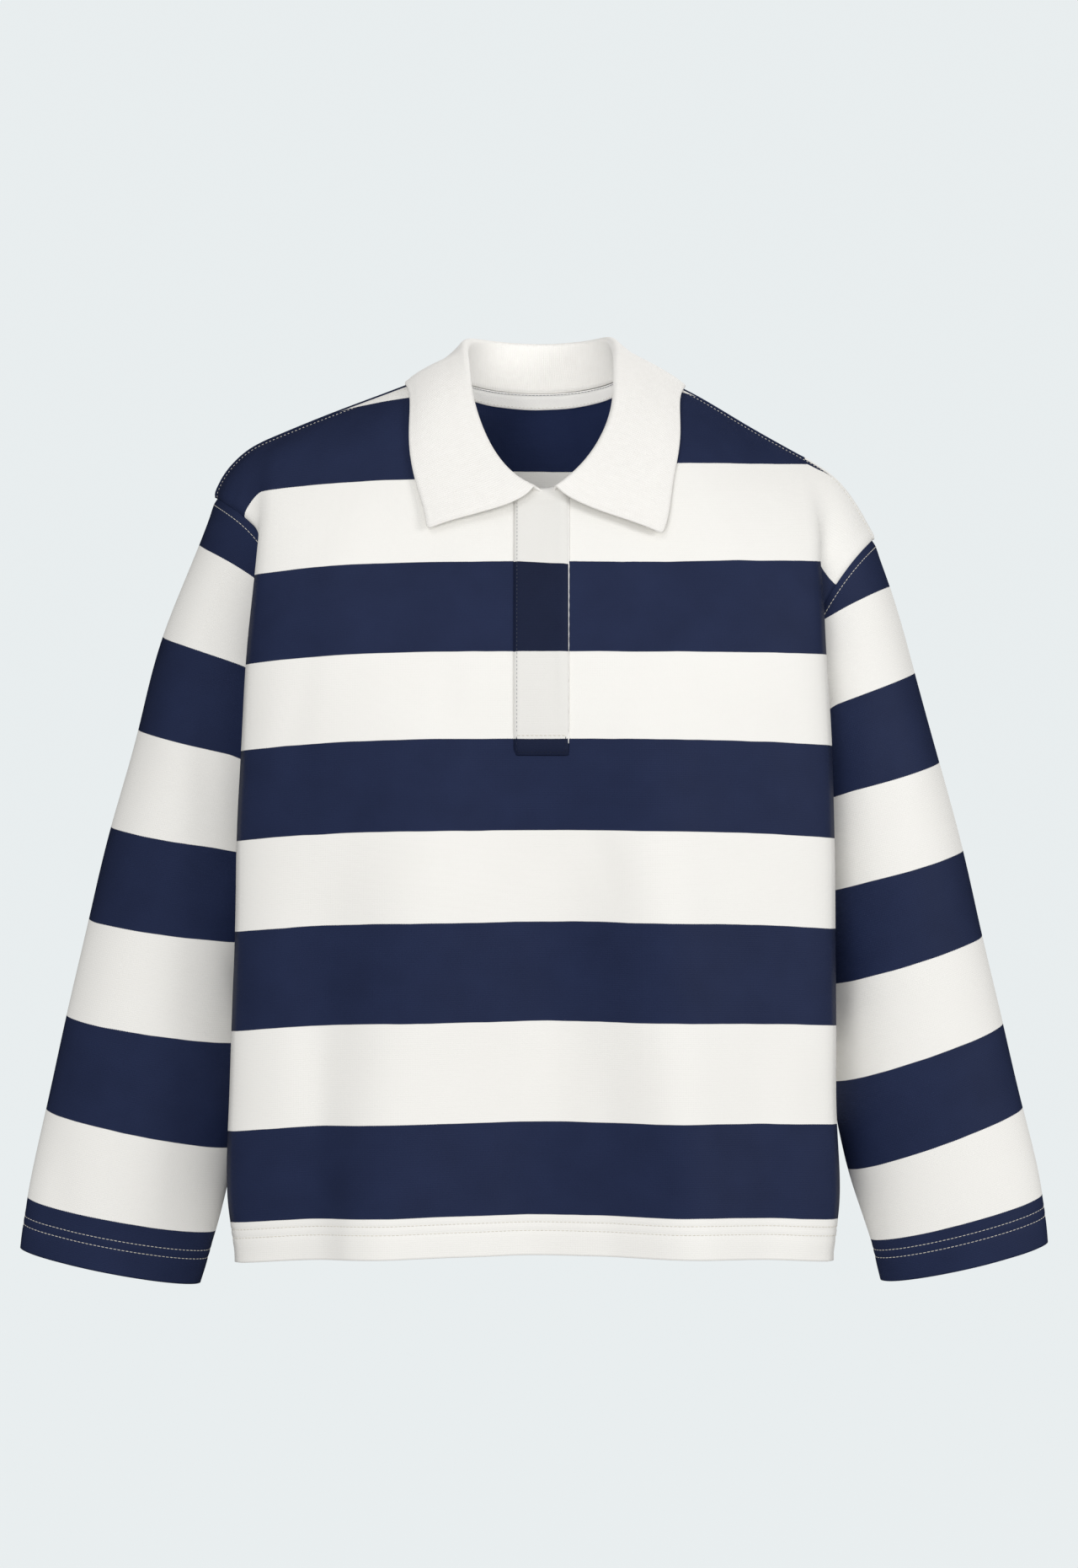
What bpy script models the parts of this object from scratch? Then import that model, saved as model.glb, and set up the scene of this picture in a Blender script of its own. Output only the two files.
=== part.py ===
"""Long-sleeved striped polo shirt of heavy jersey, hollow, as it hangs on a general figure.

The frame has +Z up, +X to the wearer's left and the front at -Y. The origin is the middle of the neck
at shoulder height. Tables and sizes are in millimetres, and the meshes are in metres.
The tables give the outer face of the cloth, and each wall is thickened towards the inside.
"""

import math

import bmesh
import bpy
import numpy as np
from mathutils import Vector
from mathutils.bvhtree import BVHTree

MM = 0.001
SEAM_GAP = 0.3  # between two sewn pieces, along the cloth
LAY_GAP = 0.35  # between a piece and the panel that it lies on
LEAST_MITRE = 0.8  # keeps the wall from running out where two pieces meet at an angle

JERSEY = 1.6  # wall of the panels and sleeves
TURN_UP = 1.2  # the second layer of a turned hem
HEM_DEPTH = 25.0
HEM_STEP = 2.0  # over which the second layer ends
RIB = 2.0  # wall of the knitted collar
PLACKET_FOLD = 2.4  # the folded strip on top
UNDER_STRIP = 1.6
TAPE = 1.2

NAVY = (0.021, 0.031, 0.073)
CREAM = (0.91, 0.90, 0.86)
CLOTH_ROUGHNESS = 0.9

RIGHT, LEFT = 0, 1  # the wearer's sides; the right one is at -X
SIGN = (-1, 1)

# The body: half widths out to the side folds, and the depth of the front and of the back
BODY_COLUMNS = ("height", "right", "left", "front", "front_edge", "back", "back_edge")
BODY = (
    (-608, 213, 206, -100, -58, 97, 66),
    (-580, 217, 210, -101, -59, 98, 67),
    (-515, 217, 209, -103, -61, 99, 69),
    (-446, 214, 208, -107, -63, 99, 70),
    (-377, 212, 207, -111, -65, 98, 71),
    (-314, 211, 206, -115, -67, 97, 72),
    (-251, 208, 204, -117, -67, 98, 72),
    (-191, 204, 200, -113, -66, 100, 70),
    (-140, 195, 195, -98, -60, 98, 68),
    (-90, 184, 184, -78, -50, 90, 62),
)
HEM, CHEST = BODY[0][0], BODY[7][0]
CHEST_ROW = 0.73  # share of a panel's rows that lie below the chest
ROWS_PER_MM = CHEST_ROW / (CHEST - HEM)
DROOP_COLUMNS = ("height", "right", "left")  # how far a row falls from the middle to the side folds
DROOP = ((-608, 8, 7), (-515, 9, 4), (-377, 8, 6), (-251, 8, 4), (-191, 8, 1), (-128, 8, -2), (-66, 8, -4))
DROOP_POWER = 3.0
ROUNDNESS = 2.6  # power of the front's and the back's horizontal sections
# How a panel leaves the chest line: its lean towards the back at the middle and at the side fold
LEAN = {"front": (0.05, -0.02), "back": (0.0, 0.08)}
LEAN_POWER = 4
CHEST_HANDLE = 0.40
TAPER_POWER = 3  # how late a panel narrows to the shoulder fold

# Side seams, in the hollow beside the arm: height, then across and depth on each side
SIDE_SEAM_COLUMNS = ("height", "right_x", "right_y", "left_x", "left_y")
SIDE_SEAM = (
    (-616, 209, 4, 201, -30),
    (-590, 209, 4, 205, -28),
    (-553, 203, 4, 205, -14),
    (-515, 195, 5, 197, 2),
    (-446, 184, 5, 186, 5),
    (-377, 173, 5, 176, 5),
    (-300, 161, 5, 165, 5),
    (-262, 157, 5, 161, 5),
    (-233, 160, 5, 165, 5),
)

# The shoulder seams from the neck out, then on round the ball of the shoulder to the armhole
SHOULDER = (
    ((66, -8, 12), (102, -11, -2.5), (144, -12, -18.5), (180, -13, -32.5)),
    ((66, 1, 14), (103, 3, -1), (138, 4, -21), (177, 5, -43)),
)
BALL = (
    ((180, -13, -32.5), (198, -13, -41), (211, -12, -50), (220, -10, -60), (226, -8, -70)),
    ((177, 5, -43), (195, 5, -53), (208, 5, -62), (218, 5, -73), (229, 5, -90)),
)
NECK_HALF = 66
NECK_FRONT = (-80, -79)  # height and depth of the neck seam at the middle of the front
NECK_BACK = (1, 62)
NECK_POWERS = (0.9, 1.1)  # how the seam bows in depth and in height
# How a panel arrives at its top edge: how steep it is there, and how far that slope carries down
TOP_COLUMNS = ("share", "degrees", "reach")
TOP = ((0, 63, 0.34), (0.3, 46, 0.30), (0.45, 27, 0.25), (0.7, 19, 0.25), (1, 17, 0.28))

# Armholes: their outer top, the underarm, and how the loop falls between them
RING_COLUMNS = ("out_x", "out_y", "out_z", "in_x", "in_y", "in_z", "depth", "ease")
ARMHOLE = (
    (229, -6, -79, 160, 5, -233, 46, 0.30),
    (238, 5, -108, 165, 5, -240, 46, 0.50),
)
RING_POWER = (4.0, 2.3)
UNDERARM_ROW = 0.665
ARMHOLE_PACE = 0.86  # below 1, a panel's rows lie closer together near the underarm

# From the side fold inwards: how the cloth turns into the hollow beside the arm
BEFORE_FOLD = 0.985
TUCK = 0.8
TUCK_LEAN = 0.7
FLANK_HANDLES = (0.42, 0.34)
CROWN_ROW = 0.80  # above it a flank follows the ball of the shoulder

# Sleeves below the armhole: outer edge, inner edge, half depth, and how evenly a section falls
SLEEVE = (
    (
        (242, 1, -112, 169, 6, -240, 47, 0.40),
        (268, 6, -177, 176, 8, -260, 51, 0.55),
        (286, 10, -243, 184, 11, -294, 51, 0.70),
        (306, 12, -312, 191, 13, -342, 49, 0.85),
        (322, 14, -378, 198, 14, -402, 46, 1.0),
        (338, 15, -447, 207, 15, -471, 43, 1.0),
        (353, 15, -514, 217, 15, -541, 38, 1.0),
        (366, 14, -577, 231, 14, -601, 31, 1.0),
        (371, 13, -613, 242, 13, -638, 27, 1.0),
    ),
    (
        (250, 5, -141, 175, 6, -247, 46, 0.55),
        (268, 8, -202, 181, 9, -269, 48, 0.65),
        (286, 10, -266, 187, 11, -308, 50, 0.80),
        (303, 12, -329, 194, 13, -364, 48, 0.90),
        (317, 14, -390, 201, 14, -427, 46, 1.0),
        (332, 15, -453, 209, 15, -494, 42, 1.0),
        (346, 15, -513, 221, 15, -557, 37, 1.0),
        (360, 14, -575, 237, 14, -607, 31, 1.0),
        (364, 13, -609, 244, 13, -636, 27, 1.0),
    ),
)
FRONT_DROP = 3.5  # a sleeve's rings hang this much lower in front
DROP_SHARE = 0.15  # share of the sleeve over which that begins

# Soft ridges that fall from the chest and the shoulder blades: across at the hem and at the top,
# the height where one starts, how far it stands out at the hem, and its half width there
RIDGE_COLUMNS = ("hem_x", "top_x", "top_z", "rise", "half_width")
FRONT_RIDGES = ((-121, -88, -170, 9, 40), (106, 46, -170, 10, 40))
BACK_RIDGES = ((-96, -70, -150, 8, 42), (12, 6, -260, 5, 34), (118, 82, -150, 8, 42))
RIDGE_WIDTHS = (1.35, 0.85)  # shares of the half width, where a ridge starts and at the hem
RIDGE_POWER = 0.8
RIDGE_FADE = 8  # ridges end before the side fold

# Collar: at places round the neck, the fold where it turns over, where the edge of its fall lies on
# the panels, and how far that edge stands off them
COLLAR_COLUMNS = ("share", "roll_x", "roll_y", "roll_z", "edge_x", "edge_y", "edge_z", "lift")
COLLAR = (
    (0.000, 4, -87, -73, -76, -92, -106, 8),
    (0.090, -12, -80, -63, -80, -86, -90, 5),
    (0.180, -30, -66, -44, -87, -73, -66, 4),
    (0.270, -46, -46, -10, -93, -52, -36, 5),
    (0.350, -50, -20, 19, -98, -20, -7, 7.5),
    (0.420, -49, 20, 37, -90, 34, -13, 7.5),
    (0.460, -34, 45, 38, -58, 60, -20, 6),
    (0.500, 0, 58, 37, 0, 72, -22, 6),
    (0.540, 34, 45, 38, 60, 60, -21, 6),
    (0.580, 49, 20, 38, 96, 34, -17, 7.5),
    (0.650, 53, -16, 19, 107, -14, -9, 7.5),
    (0.730, 50, -44, -12, 103, -48, -37, 5),
    (0.820, 36, -66, -43, 97, -72, -67, 4),
    (0.910, 19, -79, -63, 91, -84, -94, 5),
    (1.000, 11, -86, -74, 85, -92, -109, 8),
)
SEAM_TURN = ((0, -4), (0.37, 90), (0.5, 180), (0.63, 270), (1, 352))  # round the neck seam, in degrees
ROLL_RADIUS = 3.6
ROLL_SHARE = 0.3  # the roll's radius is at most this share of the stand
STAND_HANDLE = 0.3
FALL_HANDLES = (0.25, 0.3)
COLLAR_COLUMN_COUNT = 41
STAND_STEPS = (0, 0.35, 0.7)
ROLL_STEPS = (0, 0.25, 0.5, 0.75, 1)
FALL_STEPS = (0.14, 0.31, 0.52, 0.75, 1)
COLLAR_REST = 3.6  # least height of the fall's outer face above the panels
COLLAR_PUFF = 4.0  # how far the fall bows off its straight line
COLLAR_GAP = 1.6  # from the neck edge up to the stand
DEEPEST = 9.0  # a point further inside than this belongs to the neck, not to the fall

PLACKET_SIDES = (-17, 20)  # the strip's sewn edge and its free edge
PLACKET_END = -262
SLIT_SIDES = (-11, 13)
SLIT_END = -246
STRIP_TOP = 0.985
STRIP_COLUMNS = 4
STRIP_SHARE = 0.05  # a place near the middle, where the panel's width is read
ROW_CLEAR = 0.01
TAPE_WIDTH = 12
TAPE_REACH = 60
TAPE_DROP = 2  # below the neck seam

# How finely the cloth is divided: shares of the way, each list in the order it runs
FIRST_ROW, ROW_STEP, PLAIN_ROWS = 0.12, 0.073, 7
ARMHOLE_STEPS = 11
NECK_STEPS = 7
SHOULDER_SHARES = (0.14, 0.3, 0.46, 0.62, 0.78, 0.91, 0.975, 1.0)
FLANK_SHARES = (0.14, 0.34, 0.56, 0.78, 1.0)
SLEEVE_RINGS = (0, 0.03, 0.075, 0.13, 0.2, 0.28, 0.36, 0.45, 0.54, 0.63, 0.72, 0.81, 0.89)


# Curves

def spline(stations, values, at):
    """The natural cubic curve through the values, read at the places given."""
    x, y, at = np.asarray(stations, float), np.asarray(values, float), np.asarray(at, float)
    step = np.diff(x)
    system, right = np.eye(len(x)), np.zeros(len(x))
    for i in range(1, len(x) - 1):
        system[i, i - 1 : i + 2] = step[i - 1], 2 * (step[i - 1] + step[i]), step[i]
        right[i] = 6 * ((y[i + 1] - y[i]) / step[i] - (y[i] - y[i - 1]) / step[i - 1])
    bend = np.linalg.solve(system, right)
    i = np.clip(np.searchsorted(x, at) - 1, 0, len(step) - 1)
    a, b = (x[i + 1] - at) / step[i], (at - x[i]) / step[i]
    return a * y[i] + b * y[i + 1] + ((a**3 - a) * bend[i] + (b**3 - b) * bend[i + 1]) * step[i] ** 2 / 6


def read(table, columns, name, at):
    """A named column of a table, read smoothly over its first column."""
    k = columns.index(name)
    stations = [row[0] for row in table]
    return spline(stations, [row[k] for row in table], np.clip(at, stations[0], stations[-1]))


def path(points, at):
    """A smooth curve through points, read at shares of its length from 0 to 1."""
    points = np.asarray(points, float)
    length = np.concatenate([[0], np.cumsum(np.linalg.norm(np.diff(points, axis=0), axis=1))])
    return np.stack([spline(length / length[-1], points[:, k], at) for k in range(3)], -1)


def bezier(a, b, c, d, at):
    at = np.asarray(at)[..., None]
    return a * (1 - at) ** 3 + 3 * b * at * (1 - at) ** 2 + 3 * c * at**2 * (1 - at) + d * at**3


def unit(vectors):
    return vectors / np.maximum(np.linalg.norm(vectors, axis=-1, keepdims=True), 1e-9)


# The body panels

def ring(side, shape, angle):
    """A loop round the arm: 0 at its outer top, a half turn at its inner side, the front half first."""
    r = dict(zip(RING_COLUMNS, shape))
    fall = (1 - np.cos(angle)) / 2
    sink = r["ease"] * fall + (1 - r["ease"]) * fall ** RING_POWER[side]
    x = r["out_x"] + (r["in_x"] - r["out_x"]) * fall
    y = r["out_y"] + (r["in_y"] - r["out_y"]) * fall - r["depth"] * np.sin(angle)
    z = r["out_z"] + (r["in_z"] - r["out_z"]) * sink
    return np.stack([SIGN[side] * x, y, z], -1)


def armhole_angle(row):
    """A row's place on the armhole, from a half turn at the underarm's row to 0 at the top."""
    share = np.clip((row - UNDERARM_ROW) / (1 - UNDERARM_ROW), 0, 1)
    return math.pi * (1 - share) ** ARMHOLE_PACE


def side_edge(side, row, back):
    """The panel's side: the side seam up to the underarm, and the armhole above it."""
    start = SIDE_SEAM[0][0]
    height = start + (ARMHOLE[side][5] - start) * np.clip(row / UNDERARM_ROW, 0, 1)
    name = ("right", "left")[side]
    across = read(SIDE_SEAM, SIDE_SEAM_COLUMNS, name + "_x", height)
    depth = read(SIDE_SEAM, SIDE_SEAM_COLUMNS, name + "_y", height)
    seam = np.stack([SIGN[side] * across, depth, height], -1)
    seam = seam + (np.asarray(ring(side, ARMHOLE[side], math.pi)) - seam) * (row >= UNDERARM_ROW)[..., None]
    angle = armhole_angle(row) * (-1 if back else 1)
    return np.where((row > UNDERARM_ROW)[..., None], ring(side, ARMHOLE[side], angle), seam)


def fold_top(side):
    return SHOULDER[side][-1][0]


def neck_seam(side, across, back):
    """The neck seam over a place across: half an ellipse that drops from one shoulder to the other."""
    level = np.sqrt(np.clip(1 - (across / NECK_HALF) ** 2, 0, 1))
    corner = SHOULDER[side][0]
    height, depth = NECK_BACK if back else NECK_FRONT
    y = corner[1] + (depth - corner[1]) * level ** NECK_POWERS[0]
    z = corner[2] + (height - corner[2]) * level ** NECK_POWERS[1]
    return np.stack([SIGN[side] * across, y, z], -1)


def top_edge(side, share, back):
    """Where a column ends: the neck seam, then the shoulder seam."""
    across = share * fold_top(side)
    seam = np.asarray(SHOULDER[side], float)
    at = np.clip(across, seam[0, 0], seam[-1, 0])
    y, z = spline(seam[:, 0], seam[:, 1], at), spline(seam[:, 0], seam[:, 2], at)
    shoulder = np.stack([SIGN[side] * at, y, z], -1)
    inside = (across < NECK_HALF - 1e-6)[..., None]
    return np.where(inside, neck_seam(side, np.minimum(across, NECK_HALF), back), shoulder)


def ridges(across, height, back):
    """How far the cloth stands out on the soft ridges."""
    out = np.zeros(np.broadcast(across, height).shape)
    for row in BACK_RIDGES if back else FRONT_RIDGES:
        r = dict(zip(RIDGE_COLUMNS, row))
        fall = np.clip((r["top_z"] - height) / (r["top_z"] - HEM), 0, 1)
        middle = r["top_x"] + (r["hem_x"] - r["top_x"]) * fall
        width = r["half_width"] * (RIDGE_WIDTHS[0] + (RIDGE_WIDTHS[1] - RIDGE_WIDTHS[0]) * fall)
        out += r["rise"] * fall**RIDGE_POWER / (1 + ((across - middle) / width) ** 2)
    return out


def torso(side, share, row, back):
    """A point between the middle and the side fold: share is 0 to 1 across, row 0 to 1 from the hem up."""
    share, row = np.broadcast_arrays(np.asarray(share, float), np.asarray(row, float))
    name = ("right", "left")[side]
    face = "back" if back else "front"
    height = HEM + (CHEST - HEM) * np.clip(row / CHEST_ROW, 0, 1)
    bow = 1 - np.sqrt(1 - np.clip(share, 0, 1) ** ROUNDNESS)
    middle, edge = read(BODY, BODY_COLUMNS, face, height), read(BODY, BODY_COLUMNS, face + "_edge", height)
    depth = middle + (edge - middle) * bow
    height = height - read(DROOP, DROOP_COLUMNS, name, height) * share**DROOP_POWER
    top = top_edge(side, share, back)
    rise = top[..., 2] - height
    slope = np.radians(read(TOP, TOP_COLUMNS, "degrees", share))
    handle = read(TOP, TOP_COLUMNS, "reach", share) * np.hypot(rise, top[..., 1] - depth)
    handle = handle * (-1 if back else 1)
    start = np.stack([depth, height], -1)
    lean = LEAN[face][0] + (LEAN[face][1] - LEAN[face][0]) * share**LEAN_POWER
    first = np.stack([depth + rise * lean, height + rise * CHEST_HANDLE], -1)
    second = top[..., 1:] - np.stack([handle * np.cos(slope), np.abs(handle) * np.sin(slope)], -1)
    up = np.clip((row - CHEST_ROW) / (1 - CHEST_ROW), 0, 1)
    yz = bezier(start, first, second, top[..., 1:], up)
    width = read(BODY, BODY_COLUMNS, name, yz[..., 1])
    across = SIGN[side] * share * (width + (fold_top(side) - width) * up**TAPER_POWER)
    out = ridges(across, yz[..., 1], back) * (1 - share**RIDGE_FADE)
    return np.stack([across, yz[..., 0] + (out if back else -out), yz[..., 1]], -1)


def flank(side, share, row, back):
    """A point between the side fold, at share 0, and the side seam or the armhole, at share 1."""
    share, row = np.broadcast_arrays(np.asarray(share, float), np.asarray(row, float))
    ones = np.ones_like(row)
    toward = -1 if back else 1
    fold, before = torso(side, ones, row, back), torso(side, BEFORE_FOLD * ones, row, back)
    end = side_edge(side, row, back)
    gap = end - fold
    reach = np.linalg.norm(gap, axis=-1, keepdims=True)
    tuck = np.clip((1 - row) / (1 - UNDERARM_ROW), 0, 1)[..., None]
    inward = np.stack([-SIGN[side] * ones, toward * ones, 0 * ones], -1) * TUCK_LEAN
    leave = unit(unit(fold - before) * (1 - TUCK * tuck) + inward * TUCK * tuck)
    straight = np.stack([0 * ones, toward * ones, 0 * ones], -1)
    arrive = unit(unit(gap) * (1 - tuck**2) + straight * tuck**2)
    hook, landing = leave * reach * FLANK_HANDLES[0], arrive * reach * FLANK_HANDLES[1]
    curve = bezier(fold, fold + hook, end - landing, end, share)
    fold_end, corner = torso(side, ones, ones, back), ring(side, ARMHOLE[side], 0 * ones)
    ball = path(BALL[side] + (ARMHOLE[side][:3],), share) * (SIGN[side], 1, 1)
    bulge = ball - (fold_end + (corner - fold_end) * share[..., None])
    crown = np.clip((row - CROWN_ROW) / (1 - CROWN_ROW), 0, 1)[..., None] ** 2
    return curve + (fold + gap * share[..., None] + bulge - curve) * crown


def panel_rows():
    """Rows from the hem to the top: the hem's fold, plain rows, the slit's end and the armhole's steps."""
    plain = [0, HEM_DEPTH * ROWS_PER_MM, (HEM_DEPTH + HEM_STEP) * ROWS_PER_MM]
    plain += [FIRST_ROW + ROW_STEP * k for k in range(PLAIN_ROWS)]
    angles = math.pi * np.arange(ARMHOLE_STEPS, -1, -1) / ARMHOLE_STEPS
    armhole = UNDERARM_ROW + (1 - UNDERARM_ROW) * (1 - (angles / math.pi) ** (1 / ARMHOLE_PACE))
    return np.array(plain + [(SLIT_END - HEM) * ROWS_PER_MM] + list(armhole))


def side_shares(side, slit):
    """Shares across one side of a panel, from the middle to the side fold."""
    across = [NECK_HALF * math.sin(math.pi / 2 * k / NECK_STEPS) for k in range(NECK_STEPS + 1)]
    if slit:
        across.append(abs(slit))
    across += [NECK_HALF + (fold_top(side) - NECK_HALF) * s for s in SHOULDER_SHARES]
    return np.array(sorted(across)) / fold_top(side)


def panel(back):
    """Grid of the outer face, a row of points from -X to +X at each level from the hem up."""
    rows = panel_rows()[:, None]
    halves = []
    for side in (RIGHT, LEFT):
        shares = side_shares(side, 0 if back else SLIT_SIDES[side])
        inner = torso(side, shares[None, :], rows, back)
        outer = flank(side, np.array(FLANK_SHARES)[None, :], rows, back)
        halves.append(np.concatenate([inner, outer], 1))
    return np.concatenate([halves[RIGHT][:, :0:-1], halves[LEFT]], 1)


# The sleeves

def sleeve_shapes(side, at):
    """The sleeve's ring columns at shares of its length, from the armhole to the cuff."""
    table = np.array((ARMHOLE[side],) + SLEEVE[side], float)
    middles = (table[:, :3] + table[:, 3:6]) / 2
    length = np.concatenate([[0], np.cumsum(np.linalg.norm(np.diff(middles, axis=0), axis=1))])
    shares = length / length[-1]
    columns = np.stack([spline(shares, table[:, k], at) for k in range(table.shape[1])], -1)
    return columns, length[-1]


def sleeve(side):
    """Grid of the outer face: a ring of points at each level from the armhole down to the cuff."""
    rows = panel_rows()
    front = armhole_angle(rows[rows >= UNDERARM_ROW])[::-1]
    angles = np.concatenate([front, 2 * math.pi - front[-2:0:-1]])
    length = sleeve_shapes(side, [0])[1]
    at = np.array(SLEEVE_RINGS + (1 - (HEM_DEPTH + HEM_STEP) / length, 1 - HEM_DEPTH / length, 1))
    shapes = sleeve_shapes(side, at)[0]
    drop = FRONT_DROP * np.clip(at / DROP_SHARE, 0, 1)[:, None] * np.sin(angles)[None, :]
    grid = np.stack([ring(side, shape, angles) for shape in shapes])
    grid[..., 2] -= drop
    return grid


# The collar, the placket and the neck tape

def neck_round(turn):
    """The neck seam by degrees round it, from the middle of the front by the right side to the back."""
    points = []
    for angle in np.radians(turn):
        side = RIGHT if np.sin(angle) >= 0 else LEFT
        points.append(neck_seam(side, abs(NECK_HALF * np.sin(angle)), np.cos(angle) < 0))
    return np.array(points)


def across_to(vectors, line):
    """The part of the vectors that runs square to a line, as unit vectors."""
    return unit(vectors - np.sum(vectors * line, -1, keepdims=True) * line)


def collar(panels):
    """Grid of the outer face: from the neck seam up the stand, over the roll and down the fall."""
    steps = COLLAR_COLUMN_COUNT
    at = np.linspace(0, 1, steps)
    seam = neck_round(np.interp(at, [a for a, _ in SEAM_TURN], [b for _, b in SEAM_TURN]))
    inward = unit(np.cross(np.gradient(seam, axis=0), (0, 0, 1)))
    seam = seam + inward * RIB + (0, 0, COLLAR_GAP)
    place = {name: read(COLLAR, COLLAR_COLUMNS, name, at) for name in COLLAR_COLUMNS}
    roll = np.stack([place["roll_" + axis] for axis in "xyz"], -1)
    edge = np.stack([place["edge_" + axis] for axis in "xyz"], -1)
    height, off = above(edge, panels)
    edge = edge + off * (place["lift"] - height)[:, None]
    line = unit(np.gradient(roll, axis=0))
    up, down = across_to(roll - seam, line), across_to(edge - roll, line)
    over = across_to(down, up)
    turn = np.arccos(np.clip(np.sum(up * down, -1, keepdims=True), -1, 1))
    stand = np.linalg.norm(roll - seam, axis=-1, keepdims=True)
    radius = np.minimum(ROLL_RADIUS, ROLL_SHARE * stand)
    centre = roll + over * radius * np.cos(turn / 2) - up * radius * np.sin(turn / 2)
    arc = [centre - over * radius * np.cos(turn * k) + up * radius * np.sin(turn * k) for k in ROLL_STEPS]
    begin, end = arc[0], arc[-1]
    low, high = seam + (begin - seam) * STAND_HANDLE, begin - up * STAND_HANDLE * stand
    rows = [bezier(seam, low, high, begin, np.full(steps, t)) for t in STAND_STEPS]
    length = np.linalg.norm(edge - end, axis=-1, keepdims=True)
    slant = unit(edge - end)
    rows += arc
    early = end + down * FALL_HANDLES[0] * length
    late = edge - slant * FALL_HANDLES[1] * length + off * COLLAR_PUFF
    rows += [bezier(end, early, late, edge, np.full(steps, t)) for t in FALL_STEPS]
    grid = np.stack(rows)
    fall = grid[-len(FALL_STEPS):]
    height, off = above(fall, panels)
    lift = np.where(height > -DEEPEST, np.maximum(COLLAR_REST - height, 0), 0)
    fall += off * spread(lift)[..., None]
    return grid


def outer_faces(grid, flip):
    """The faces of a grid in a search tree, turned so that they look off the cloth."""
    rows, columns = grid.shape[:2]
    faces = []
    for r, c in np.ndindex(rows - 1, columns - 1):
        corner = r * columns + c
        face = [corner, corner + 1, corner + columns + 1, corner + columns]
        faces.append(face[::-1] if flip else face)
    return BVHTree.FromPolygons(grid.reshape(-1, 3).tolist(), faces)


def above(points, trees):
    """How high points lie above the outer faces of the panels, and the direction off the cloth there."""
    heights, directions = np.empty(points.shape[:-1]), np.empty(points.shape)
    for place in np.ndindex(heights.shape):
        point = Vector(points[place])
        spot, normal, _, distance = min((t.find_nearest(point) for t in trees), key=lambda hit: hit[3])
        heights[place] = math.copysign(distance, (point - spot).dot(normal))
        directions[place] = normal
    return heights, directions


def spread(lift):
    """Widens and smooths a grid of lifts, so that no point gets less than its own."""
    for pick in (np.max, np.mean):
        wide = np.pad(lift, 1, mode="edge")
        views = [wide[i : i + lift.shape[0], j : j + lift.shape[1]] for i in range(3) for j in range(3)]
        lift = pick(views, axis=0)
    return lift


def strip(lift):
    """Grid along the placket, lifted off the front panel's outer face."""
    end = (PLACKET_END - HEM) * ROWS_PER_MM
    rows = np.array([end] + [r for r in panel_rows() if end + ROW_CLEAR < r < STRIP_TOP] + [STRIP_TOP])
    across = np.linspace(*PLACKET_SIDES, STRIP_COLUMNS)
    grid = np.empty((len(rows), len(across), 3))
    for j, x in enumerate(across):
        side = RIGHT if x < 0 else LEFT
        width = np.abs(torso(side, STRIP_SHARE, rows, False)[:, 0]) / STRIP_SHARE
        grid[:, j] = torso(side, abs(x) / width, rows, False)
    return grid + normals(grid) * lift


def tape():
    """Grid along the inside of the back neck seam."""
    columns = []
    for side, order in ((RIGHT, -1), (LEFT, 1)):
        shares = [s for s in side_shares(side, 0)[::order] if s * fold_top(side) < TAPE_REACH]
        for share in shares if side == RIGHT else shares[1:]:
            ends = torso(side, share, np.array([CHEST_ROW, 1.0]), True)
            reach = read(TOP, TOP_COLUMNS, "reach", share)
            per_mm = (1 - CHEST_ROW) / (3 * reach * np.linalg.norm(ends[1, 1:] - ends[0, 1:]))
            rows = 1 - (TAPE_DROP + np.array([TAPE_WIDTH, TAPE_WIDTH / 2, 0])) * per_mm
            columns.append(torso(side, share, rows, True))
    return np.stack(columns, 1)


# Meshes

def normals(grid, closed=False):
    """Unit normals of a grid of points, across its columns and up its rows."""
    if closed:
        wide = np.concatenate([grid[:, -1:], grid, grid[:, :1]], 1)
        along = (wide[:, 2:] - wide[:, :-2]) / 2
    else:
        along = np.gradient(grid, axis=1)
    return unit(np.cross(along, np.gradient(grid, axis=0)))


def wall_object(name, outer, inner, color, roughness, closed=False, holes=()):
    """One closed solid between an outer and an inner grid, left open at the cells in holes."""
    count_r, count_c = outer.shape[:2]
    mesh = bmesh.new()
    layers = []
    for grid in (outer, inner):
        layers.append([[mesh.verts.new(point * MM) for point in line] for line in grid])
    last = count_c if closed else count_c - 1
    cells = {(r, c) for r in range(count_r - 1) for c in range(last)} - set(holes)
    edges = {}
    for r, c in cells:
        d = (c + 1) % count_c
        corners = ((r, c), (r, d), (r + 1, d), (r + 1, c))
        mesh.faces.new([layers[0][i][j] for i, j in corners])
        mesh.faces.new([layers[1][i][j] for i, j in reversed(corners)])
        for a, b in zip(corners, corners[1:] + corners[:1]):
            key = frozenset((a, b))
            edges[key] = None if key in edges else (a, b)
    for pair in edges.values():
        if pair:
            (ra, ca), (rb, cb) = pair
            mesh.faces.new([layers[0][rb][cb], layers[0][ra][ca], layers[1][ra][ca], layers[1][rb][cb]])
    loose = [v for v in mesh.verts if not v.link_faces]
    bmesh.ops.delete(mesh, geom=loose, context="VERTS")
    bmesh.ops.recalc_face_normals(mesh, faces=mesh.faces)
    bmesh.ops.triangulate(mesh, faces=mesh.faces)
    data = bpy.data.meshes.new(name)
    mesh.to_mesh(data)
    mesh.free()
    data.shade_smooth()
    obj = bpy.data.objects.new(name, data)
    material = bpy.data.materials.new(name)
    material.use_nodes = True
    surface = material.node_tree.nodes["Principled BSDF"]
    surface.inputs["Base Color"].default_value = (*color, 1)
    surface.inputs["Roughness"].default_value = roughness
    surface.inputs["Metallic"].default_value = 0.0
    data.materials.append(material)
    bpy.data.collections["polo shirt"].objects.link(obj)
    return obj


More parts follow.
